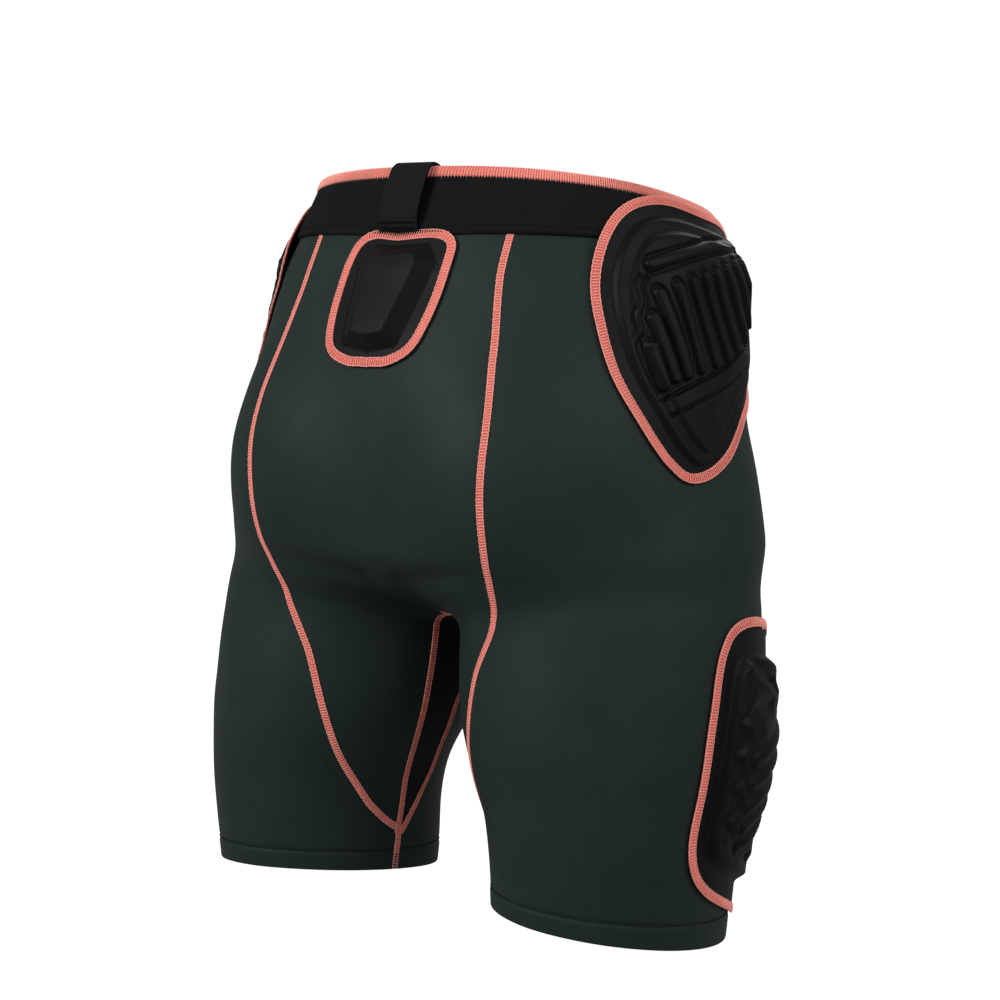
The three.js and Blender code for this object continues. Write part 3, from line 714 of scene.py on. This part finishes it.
# Seam lines of the left half. The back seam is cast backwards from inside the body, the gusset's
# edges sideways from the middle of the leg, with rows crowding where they meet in the middle
def seamLines():
    z = np.linspace(seams["backTop"], level(seams["backEnd"]), 330)
    start = np.stack([seamX(z), np.where(z > level(1), 10, legY(z)), z], -1)
    lines = [castPath(start, (0, 1, 0), reach)]
    apex = level(seams["apex"])
    for edge in (gussetRear, gussetFore):
        tip = np.array([0, float(edge(level(1))), float(level(0.6))])
        for _ in range(12):
            z0 = tip[2] - castFrom(tip[None], downward, inseam)[0]
            tip = np.array([0, float(edge(z0)), float(level(0.6))])
        z = z0 + (apex - z0) * np.linspace(0, 1, 240) ** 2
        start = np.stack([legX(z), edge(z), z], -1)
        path = castPath(start, (-1, 0, 0), legX(z))
        path[0, 0] = 0
        lines.append(path)
    z = np.linspace(apex, seams["inseamEnd"], 40)
    y = between(smooth(np.linspace(0, 1, 40)), gussetRear(apex) - 1, seams["inseamBack"])
    lines.append(castPath(np.stack([legX(z), y, z], -1), (-1, 0, 0), legX(z)))
    return lines


halfLines = seamLines()


# Height of a seam's middle over the form: the cloth's thickness less a little
def onCloth(base):
    return np.full(len(base), fabric - 0.1)


frontTip = halfLines[2][0]
frontV = np.linspace(bandV - 0.01, 1, 200)
frontLine = place(1.0, frontV)[0]
frontLine = frontLine[frontLine[:, 1] < frontTip[1]]
rearUp = place(0.0, np.linspace(0.9, 1, 60))[0]
rearTip = halfLines[1][0]
rearUp = rearUp[(rearUp[:, 1] > rearTip[1]) & (rearUp[:, 1] < rearTip[1] + seams["crotchSeam"])]
for word, side in sides.items():
    parts = []
    for line in halfLines:
        parts += flatlockAlong(line, onCloth)
    if side > 0:
        parts += flatlockAlong(frontLine, onCloth)
        parts += flatlockAlong(rearUp, onCloth, width=flatlock["narrow"])
    piece = joinParts(f"seam_stitching_{word}", parts, [coralThread, coralShadedBed], side < 0)
    swing(piece)
print("seams ready")

# Waistband with its stitching and overlocked edge
band = {
    "steps": 150, "girth": 720, "stitchPlaces": 600, "stitchDrop": 37, "stitchOut": 3.62,
    "stitchLong": 2.1, "stitchGap": 0.8, "stitchRadius": 0.3, "loopPitch": 1.7, "loopLean": 1.1,
    "loopRadius": 0.5, "longLoop": 0.5,
}
bandProfile = throughPoints([
    [41.3, 0.7], [42, 1.5], [41.9, 2.6], [41, 3.4], [39.4, 3.75], [37.8, 3.85], [37, 3.5],
    [36.2, 3.9], [33, 4.05], [26, 4.1], [16, 4.1], [7, 4.1], [2.4, 4.0], [0.7, 3.5], [0, 2.5],
    [0.1, 1.3], [0.9, 0.4], [3, 0.05], [12, 0], [24, 0], [35, 0], [39.6, 0.1]], 3)


# Rings round the waist: at each u, the form's point at the profile's drop plus its normal times
# the profile's offset
def waistRings(profile, steps):
    u = np.linspace(-1, 1, 2 * steps, endpoint=False)
    p, n = place(u[:, None], profile[None, :, 0] / rise)
    return p + n * profile[None, :, 1, None]


rings = waistRings(bandProfile, band["steps"])
bandFaces = loft(rings, joined=True)
around = np.linspace(0, band["girth"] * 0.001, 2 * band["steps"] + 1)
profileSteps = np.linalg.norm(np.diff(bandProfile, axis=0), axis=1)
down = np.concatenate([[0], np.cumsum(profileSteps)]) * 0.001
i, j = np.divmod(bandFaces[0], len(bandProfile))
crossing = i.max(1, keepdims=True) == 2 * band["steps"] - 1
wrapI = np.where((i == 0) & crossing, 2 * band["steps"], i)
bandUv = np.stack([around[wrapI], down[j]], -1).reshape(-1, 2)
waistband = makePiece("waistband", rings.reshape(-1, 3), bandFaces, [bandJersey], bandUv)
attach(waistband, "hips")
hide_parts("waistband_cover")


# Lockstitches along a line: short threads end to end that arch up from the cloth and dive in
def lockstitch(base, lift, long, gapLong, radius, closed=True):
    base = evenly(base, long + gapLong, closed)
    ahead = np.roll(base, -1, axis=0)
    if not closed:
        base, ahead = base[:-1], ahead[:-1]
    share = long / (long + gapLong)
    t = np.array([0, 0.2, 0.8, 1]) * share
    high = np.array([-0.25, 0.25, 0.25, -0.25])
    n = outward(base)
    at = base + n * (lift(base) + clothRelief(base))[:, None]
    to = ahead + n * (lift(ahead) + clothRelief(ahead))[:, None]
    lines = at[:, None] + (to - at)[:, None] * t[:, None] + n[:, None] * high[:, None]
    return threadTubes(lines, np.repeat(n[:, None], 4, axis=1), radius)


ringU = np.linspace(-1, 1, band["stitchPlaces"], endpoint=False)
bandLine = place(ringU, band["stitchDrop"] / rise)[0]
points, faces = lockstitch(bandLine, lambda b: band["stitchOut"] - clothRelief(b),
                           band["stitchLong"], band["stitchGap"], band["stitchRadius"])
stitching = joinParts("waistband_stitching", [(points, [faces], 0)], [blackThread])
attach(stitching, "hips")

# The overlock's loops run from outside over the edge to inside, each a pitch along from the last
loopProfile = throughPoints([[6.2, 4.2], [3.5, 4.75], [1, 4.7], [-0.7, 3.9], [-1.15, 2.1],
                             [-0.7, 0.2], [1, -0.6], [3.5, -0.65], [6.0, -0.1]], 2, closed=False)
loopCount = int(band["girth"] / band["loopPitch"])
loopU = np.linspace(-1, 1, loopCount, endpoint=False)
lean = np.linspace(1, -1, len(loopProfile)) * band["loopLean"] / band["girth"] * 2
loopUs = loopU[:, None] + lean
loopUs = np.where(loopUs < -1, loopUs + 2, np.where(loopUs > 1, loopUs - 2, loopUs))
p, n = place(loopUs, np.broadcast_to(loopProfile[:, 0] / rise, loopUs.shape))
long = np.where(np.arange(loopCount) % 2 == 0, 0.0, band["longLoop"])[:, None]
loops = p + n * loopProfile[:, 1][None, :, None]
loops[:, 0] += (loops[:, 0] - loops[:, 1]) * long * 0.5
loopPoints, loopFaces = threadTubes(loops, n, band["loopRadius"])
bedProfile = np.array([[5.6, 4.2], [4, 4.45], [1, 4.5], [-0.4, 3.8], [-0.85, 2.1], [-0.4, 0.3],
                       [1, -0.35], [4, -0.35], [5.6, -0.15], [5.4, 0.1], [1.5, 0.2], [0.2, 1.2],
                       [-0.1, 2.2], [0.2, 3.2], [1.5, 3.9], [5.4, 4.0]])
bedRings = waistRings(bedProfile, band["steps"])
# The overlock's bed takes the darker coral copy, whose colour is painted shade under the loops
overlock = joinParts("waistband_overlock_stitching", [
    (loopPoints, [loopFaces], 0), (bedRings.reshape(-1, 3), loft(bedRings, joined=True), 1)],
    [coralThread, coralShadedBed])
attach(overlock, "hips")
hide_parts("waistband_overlock")
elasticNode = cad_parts["waistband_elastic"]
elasticNode.data.materials.clear()
elasticNode.data.materials.append(elasticKnit)
print("waistband ready")

# Belt loop: a flat tape over the top edge at the centre back
loopTape = {
    "width": 30, "thickness": 1.6, "step": 1.0, "around": 32, "bead": 0.25,
    "tacks": [(41.8, 6.7, 30, 2.4, 27), (38.6, 8.2, 30, 1.6, 27)], "tackRadius": 0.3,
}
edgePoint = place(0.0, 0.0)[0]
lowPoint = place(0.0, bandV)[0]
tapeDown = unit(lowPoint - edgePoint)
tapeOut = np.array([0, -tapeDown[2], tapeDown[1]])
tapeLine = throughPoints([[43.4, 5.3], [40.5, 6.0], [37, 8.0], [32, 9.6], [24, 10.3], [14, 10.5],
                          [6, 10.2], [1.5, 9.0], [-1.6, 6.6], [-2.6, 3.6], [-2.6, 0.6],
                          [-1.2, -2.2], [3, -3.2], [14, -3.2]], 8, closed=False)
tapeLine = evenly(np.column_stack([tapeLine, 0 * tapeLine[:, 0]]), loopTape["step"])[:, :2]
direction = unit(np.gradient(tapeLine, axis=0))
outSide = np.stack([-direction[:, 1], direction[:, 0]], -1)
outSide *= np.where(tapeLine[:, :1] * 0 + outSide[:1, 1:] < 0, -1, 1)
turn = np.linspace(0, 2 * math.pi, loopTape["around"], endpoint=False)
ringX = np.sign(np.cos(turn)) * np.abs(np.cos(turn)) ** 0.3 * loopTape["width"] / 2
ringD = np.sign(np.sin(turn)) * np.abs(np.sin(turn)) ** 0.5 * loopTape["thickness"] / 2
fromEdge = np.abs(ringX) - loopTape["width"] / 2 + 1.2
edgeBead = loopTape["bead"] * np.exp(-(fromEdge / 0.8) ** 2)
ringD = ringD * (1 + edgeBead)
flat2 = tapeLine[:, None] + outSide[:, None] * ringD[:, None]
rings = (edgePoint + tapeDown * flat2[..., :1] + tapeOut * flat2[..., 1:]
         + np.array([1.0, 0, 0]) * ringX[:, None])
tapeFaces = loft(rings)
run = np.arange(len(tapeLine)) * loopTape["step"] * 0.001
i, j = np.divmod(np.concatenate([f.ravel() for f in tapeFaces]), loopTape["around"])
tapeUv = np.stack([ringX[j] * 0.001, run[i]], -1)
tape = makePiece("belt_loop_tape", rings.reshape(-1, 3), tapeFaces, [tapeWeave], tapeUv)
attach(tape, "hips")
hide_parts("belt_loop")


# Bar tack: close upright stitches in a row across the tape, from its drop, distance out, number of
# stitches, their length and the row's width
def barTack(drop, out, count, high, width):
    x = np.linspace(-width / 2, width / 2, count)
    s = drop + np.array([-0.5, -0.25, 0.25, 0.5]) * high
    d = out + np.array([-0.3, 0.25, 0.25, -0.3])
    line = edgePoint + tapeDown * s[:, None] + tapeOut * d[:, None]
    lines = line[None] + np.array([1.0, 0, 0]) * x[:, None, None]
    return threadTubes(lines, np.broadcast_to(tapeOut, lines.shape), loopTape["tackRadius"])


tacks = [barTack(*tack) for tack in loopTape["tacks"]]
tackPiece = joinParts("belt_loop_tacks", [(p, [f], 0) for p, f in tacks], [blackThread])
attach(tackPiece, "hips")
print("belt loop ready")

# Hems: a row of dark lockstitch above each folded edge
hemStitch = {"above": 0.0035, "places": 400, "sunk": 0.25, "long": 2.2, "gap": 0.7, "radius": 0.3}
hemV = 2 - garment["hemFold"] / inseam - hemStitch["above"]
for word, side in sides.items():
    line = place(np.linspace(0, 1, hemStitch["places"], endpoint=False), hemV)[0]
    points, faces = lockstitch(line, lambda b: fabric - hemStitch["sunk"] + 0 * b[:, 0],
                               hemStitch["long"], hemStitch["gap"], hemStitch["radius"])
    piece = joinParts(f"hem_stitching_{word}", [(points, [faces], 0)], [darkThread], side < 0)
    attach(piece, f"{word}_leg")
print("hems ready")


# Distance from points to the nearest of several straight stretches (count, 2 ends, 2)
def toSegments(q, ends):
    a, b = ends[:, 0], ends[:, 1]
    step = b - a
    best = np.full(q.shape[:-1], 1e9)
    for start, move in zip(a, step):
        t = np.clip(dot(q - start, move) / max(dot(move, move), 1e-9), 0, 1)
        best = np.minimum(best, np.linalg.norm(q - start - move * t[..., None], axis=-1))
    return best


# The same distance, counted as positive inside a closed outline and negative outside
def insideOutline(q, line):
    after = np.roll(line, -1, axis=0)
    distance = toSegments(q, np.stack([line, after], 1))
    odd = np.zeros(q.shape[:-1], bool)
    for (ax, ay), (bx, by) in zip(line, after):
        spans = (ay > q[..., 1]) != (by > q[..., 1])
        odd ^= spans & (q[..., 0] < ax + (bx - ax) * (q[..., 1] - ay) / (by - ay + 1e-12))
    return np.where(odd, distance, -distance)


# Straight stretches of a line: each point paired with the next
def stretches(line):
    line = np.asarray(line, float)
    return np.stack([line[:-1], line[1:]], 1)


# Raised bar or rib from the distance to its edge: a rounded shoulder up, and a groove beside it
def barProfile(t, height, groove):
    top = height * smooth((0.6 - t) / 2.6)
    return top - groove * np.exp(-((t - 1.4) / 1.15) ** 2)


# Groove with a bell-curve section: the depth times e to the less square of distance over width
def grooveProfile(distance, depth, width):
    return -depth * np.exp(-((distance / width) ** 2))


# Width of a pad's border, and how far its middle stands from the outline. Then the thickness of the
# flange, the least height, the trimmed edge, the gap below, the step over the band and how deep the
# back lies
padBorder = {"width": 5.6, "shift": 2.4}
padLayer = {
    "flange": 1.0, "least": 0.8, "inset": 0.6, "gap": 0.9, "overBand": 0.6, "border": 0.95,
    "sunk": 0.5,
}


# Height of a pad's base over the form: on the cloth, or stepped out over the waistband
def padBase(kind, v):
    overBand = 1 - smooth((v - bandV) * rise / garment["bandHeight"])
    step = garment["bandThickness"] - fabric + padLayer["overBand"]
    return fabric + padLayer["gap"] + (0 if kind == "tail" else step) * overBand


pads = {
    "hip": {
        "outline": [[0.44, 0.045], [0.35, 0.09], [0.295, 0.19], [0.272, 0.33], [0.283, 0.52],
                    [0.32, 0.7], [0.37, 0.87], [0.425, 0.965], [0.49, 0.9], [0.575, 0.72],
                    [0.665, 0.56], [0.73, 0.36], [0.745, 0.18], [0.7, 0.06], [0.57, 0.045]],
        "perU": 480, "perV": rise, "fineness": 1.25,
        "steps": [(9, 14, 3.4), (21, 26, 2.6), (28, 60, 3.6)],
    },
    "thigh": {
        "outline": [[0.515, 1.315], [0.482, 1.355], [0.468, 1.47], [0.462, 1.63], [0.455, 1.76],
                    [0.48, 1.84], [0.55, 1.895], [0.63, 1.925], [0.685, 1.87], [0.7, 1.7],
                    [0.7, 1.53], [0.672, 1.4], [0.6, 1.335]],
        "perU": 500, "perV": inseam, "fineness": 1.1,
        "steps": [(9, 13.5, 6.2), (17, 22, 2.4), (24, 46, 3.6)],
    },
    "tail": {
        "outline": [[0, 0.163], [-0.045, 0.163], [-0.064, 0.18], [-0.064, 0.22], [-0.058, 0.29],
                    [-0.05, 0.352], [-0.039, 0.402], [-0.02, 0.42], [0, 0.415], [0.02, 0.422],
                    [0.04, 0.408], [0.047, 0.355], [0.05, 0.29], [0.049, 0.22], [0.043, 0.18],
                    [0.027, 0.163]],
        "perU": 480, "perV": rise, "fineness": 1.0,
    },
}


# Moulded relief. A bar has a half width, a height and its groove's depth; a channel has a depth and
# a width; the relief fades in over a stretch inside the outline
relief = {
    "hip": {"rib": (4.6, 2.1, 1.9), "topBar": (4.2, 1.9, 2.3), "lowBar": (7.6, 1.7, 2.3),
            "barOver": 3.2, "channel": (2.3, 1.7), "second": (1.6, 1.4), "apart": 6.5,
            "secondEnd": 42, "fadeFrom": 15, "fade": 5},
    "thigh": {"rib": (2.7, 1.6, 1.1), "slotHalf": 1.5, "slotDepth": 4.2, "lip": 0.9,
              "lipAt": 4.6, "channel": (2.8, 2.6), "fadeFrom": 10, "fade": 4},
    "tail": {"plateau": 7.6, "bevel": 7.5, "crown": 0.5, "crownOver": 22},
}


# Distance to a bar's edge, and the bar's profile there
def bar(q, ends, half, height, groove):
    edge = toSegments(q, ends) - half
    return edge, barProfile(edge, height, groove)


# Relief of the hip pad: slanted ribs between a top and a bottom bar, and a double scalloped groove
# down the back edge
def hipRelief(q, inside, scale):
    facts = relief["hip"]
    ribs = [[[0.337, 0.47], [0.352, 0.6]], [[0.347, 0.385], [0.373, 0.578]],
            [[0.366, 0.312], [0.396, 0.567]], [[0.405, 0.29], [0.426, 0.55]],
            [[0.44, 0.27], [0.467, 0.525]], [[0.474, 0.252], [0.512, 0.52]],
            [[0.512, 0.236], [0.548, 0.48]], [[0.552, 0.212], [0.588, 0.43]],
            [[0.594, 0.188], [0.624, 0.365]], [[0.634, 0.172], [0.655, 0.3]]]
    bars = {"topBar": [[0.36, 0.236], [0.431, 0.197], [0.532, 0.149], [0.655, 0.105]],
            "lowBar": [[0.362, 0.673], [0.41, 0.634], [0.5, 0.57], [0.575, 0.5]]}
    h = bar(q, np.array(ribs) * scale, *facts["rib"])[1]
    for name, line in bars.items():
        edge, profile = bar(q, stretches(line) * scale, *facts[name])
        h = np.where(edge < facts["barOver"], profile, h)
    scallop = throughPoints([[0.352, 0.268], [0.341, 0.295], [0.341, 0.34], [0.33, 0.378],
                             [0.331, 0.425], [0.318, 0.465], [0.324, 0.53], [0.333, 0.59],
                             [0.343, 0.64], [0.344, 0.7], [0.368, 0.79]], 6, closed=False)
    chain = scallop * scale
    inner = chain[:facts["secondEnd"]] - [facts["apart"], 0]
    h = (h + grooveProfile(toSegments(q, stretches(chain)), *facts["channel"])
         + grooveProfile(toSegments(q, stretches(inner)), *facts["second"]))
    return h * smooth((inside - facts["fadeFrom"]) / facts["fade"])


# Relief of the thigh pad: a slot at the top, a wavy channel, and ribs slanting up to the front
def thighRelief(q, inside, scale):
    facts = relief["thigh"]
    path = throughPoints([[0.56, 1.478], [0.52, 1.48], [0.5, 1.5], [0.509, 1.537], [0.495, 1.56],
                          [0.511, 1.6], [0.499, 1.628], [0.511, 1.665], [0.495, 1.695],
                          [0.51, 1.74], [0.54, 1.775], [0.575, 1.795]], 6, closed=False)
    ribs = [[[0.527, t + 0.02], [0.668, t - 0.06]] for t in np.linspace(1.555, 1.745, 5)]
    slots = [[[0.519, 1.372], [0.536, 1.398]], [[0.536, 1.398], [0.585, 1.44]]]
    slotEdge = toSegments(q, np.array(slots) * scale) - facts["slotHalf"]
    h = bar(q, np.array(ribs) * scale, *facts["rib"])[1]
    h = (h - facts["slotDepth"] * smooth((2.6 - slotEdge) / 3.6)
         + facts["lip"] * np.exp(-((slotEdge - facts["lipAt"]) / 2) ** 2))
    h = h + grooveProfile(toSegments(q, stretches(path) * scale), *facts["channel"])
    return h * smooth((inside - facts["fadeFrom"]) / facts["fade"])


# Height of the tail pad: a six-sided plateau with bevelled sides inside a thin flange
def tailHeight(q, inside, scale):
    facts = relief["tail"]
    corner = np.array([[-0.04, 0.178], [0.022, 0.178], [0.038, 0.222], [0.03, 0.402],
                       [-0.028, 0.402], [-0.054, 0.222]]) * scale
    deep = insideOutline(q, corner)
    plateau = facts["plateau"] * np.clip(deep / facts["bevel"], 0, 1)
    return padLayer["flange"] + (plateau + facts["crown"] * smooth(deep / facts["crownOver"]))


# Height of a pad: a flange, smooth steps that each rise between two distances inside, and relief
def padHeight(kind, q, inside, scale):
    if kind == "tail":
        return tailHeight(q, inside, scale)
    steps = [up * smooth((inside - a) / (b - a)) for a, b, up in pads[kind]["steps"]]
    moulded = (hipRelief if kind == "hip" else thighRelief)(q, inside, scale)
    return padLayer["flange"] + sum(steps) + moulded


# Pad patch over its outline's box: each point of the form plus its normal times base and height
def padPatch(kind):
    facts = pads[kind]
    scale = np.array([facts["perU"], facts["perV"]], float)
    line = throughPoints(facts["outline"], 12) * scale
    low, high = line.min(0) - 2, line.max(0) + 2
    counts = ((high - low) / facts["fineness"]).astype(int)
    a, b = np.meshgrid(*[np.linspace(low[k], high[k], counts[k]) for k in (0, 1)])
    q = np.stack([a, b], -1)
    u, v = a / scale[0], b / scale[1]
    inside = insideOutline(q, line)
    height = np.maximum(padHeight(kind, q, inside, scale), padLayer["least"])
    p, n = place(u, v)
    top = p + n * (padBase(kind, v) + height + clothRelief(p))[..., None]
    thick = height + padLayer["sunk"]
    return gridPatch(top, gridNormals(top, n), q * 0.001, thick, inside)


# One pad and its border for each side, moved by the hips, or with its transform baked in at the
# thigh
def padPieces(kind, words):
    facts = pads[kind]
    patch = padPatch(kind)
    patch = cutPatch(patch, patch[..., 9] - padLayer["inset"])
    outline = throughPoints(facts["outline"], 12)
    line = place(outline[:, 0], outline[:, 1])[0]
    levels = outline[:, 1]

    # Height of the border: the pad's base at the nearest outline point, plus the border's lift
    def onFlange(base):
        nearest = np.argmin(((base[:, None] - line[None]) ** 2).sum(-1), axis=1)
        return padBase(kind, levels[nearest]) + padLayer["border"]

    border = flatlockAlong(line, onFlange, closed=True, **padBorder)
    for word in words:
        side = sides.get(word, 1)
        prefix = f"{kind}_pad_{word}" if word in sides else "tail_pad"
        piece = closedPiece(prefix, patch if side > 0 else mirrored(patch), [mouldedJersey])
        trim = joinParts(f"{prefix}_trim", border, [coralThread, coralShadedBed], side < 0)
        for made in (piece, trim):
            if kind == "thigh":
                swing(made)
            else:
                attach(made, "hips")
        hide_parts(f"{prefix}_foam", f"{prefix}_cover")
        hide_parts(f"{prefix}_border")


padPieces("tail", ["middle"])
padPieces("hip", ["left", "right"])
padPieces("thigh", ["left", "right"])
print("pads ready")

studio = {
    "floorGap": 0.003, "flat": 2.2, "flatSteps": 12, "wall": 1.4, "wallSteps": 16, "turns": 96,
    "world": 0.26, "seenGlow": 0.86, "glow": 0.14,
}


# Pale floor that curves up all round: a profile turned about the upright axis
def makeFloor():
    bend = np.linspace(0, math.pi / 2, studio["wallSteps"])
    radius = np.concatenate([np.linspace(0.01, studio["flat"], studio["flatSteps"]),
                             studio["flat"] + studio["wall"] * np.sin(bend[1:])])
    height = np.concatenate([np.zeros(studio["flatSteps"]),
                             studio["wall"] * (1 - np.cos(bend[1:]))])
    turns = np.linspace(0, 2 * math.pi, studio["turns"], endpoint=False)
    bottom = float(cadLow.z) - studio["floorGap"]
    rings = np.stack([radius[:, None] * np.cos(turns), radius[:, None] * np.sin(turns),
                      height[:, None] + bottom + 0 * turns], -1)
    material = bpy.data.materials.new("matt studio paper")
    material.use_nodes = True
    shader = material.node_tree.nodes["Principled BSDF"]
    shader.inputs["Base Color"].default_value = colour("#6e6e6e")
    shader.inputs["Roughness"].default_value = 0.9
    shader.inputs["Emission Color"].default_value = (1, 1, 1, 1)
    path = addNode(material.node_tree, "ShaderNodeLightPath")
    glow = addNode(material.node_tree, "ShaderNodeMath", {
        0: path.outputs["Is Camera Ray"], 1: studio["seenGlow"], 2: studio["glow"]},
        operation="MULTIPLY_ADD")
    material.node_tree.links.new(glow.outputs[0], shader.inputs["Emission Strength"])
    floor = makePiece("floor", rings[:, ::-1].reshape(-1, 3) * 1000, loft(rings)[:2], [material])


makeFloor()
world = bpy.data.worlds.new("soft room")
world.use_nodes = True
world.node_tree.nodes["Background"].inputs["Color"].default_value = (1, 1, 1, 1)
world.node_tree.nodes["Background"].inputs["Strength"].default_value = studio["world"]
scene = bpy.context.scene
scene.world = world
scene.view_settings.view_transform = "Standard"
view = {"aim": (-0.0046, 0.01, -0.193), "azimuth": 217.37, "elevation": 6.47,
        "distance": 1.4274, "lens": 78.8, "sensor": 36}
aim = Vector(view["aim"])


# Round soft light at a place, turned to the aim point
def areaLight(name, place3, size, watts):
    data = bpy.data.lights.new(name, "AREA")
    data.shape, data.size, data.energy = "DISK", size, watts
    lamp = bpy.data.objects.new(name, data)
    lamp.location = place3
    lamp.rotation_mode = "QUATERNION"
    lamp.rotation_quaternion = (aim - Vector(place3)).to_track_quat("-Z", "Y")
    scene.collection.objects.link(lamp)


# Each lamp's place and size in metres, and its watts
lamps = {
    "key": ((0.75, 1.9, 0.75), 0.8, 30), "fill": ((-1.5, 0.9, 0.9), 1.2, 8),
    "rim": ((-1.6, -0.2, 0.7), 1.0, 10), "front fill": ((0.6, -1.6, 0.9), 1.4, 14),
}
for name, facts in lamps.items():
    areaLight(name, *facts)

cameraData = bpy.data.cameras.new("camera")
cameraData.sensor_width = view["sensor"]
cameraData.lens = view["lens"]
camera = bpy.data.objects.new("camera", cameraData)
azimuth, elevation = math.radians(view["azimuth"]), math.radians(view["elevation"])
away = Vector((math.sin(azimuth) * math.cos(elevation), -math.cos(azimuth) * math.cos(elevation),
               math.sin(elevation)))
camera.location = aim + away * view["distance"]
camera.rotation_mode = "QUATERNION"
camera.rotation_quaternion = (-away).to_track_quat("-Z", "Y")
scene.collection.objects.link(camera)
scene.camera = camera
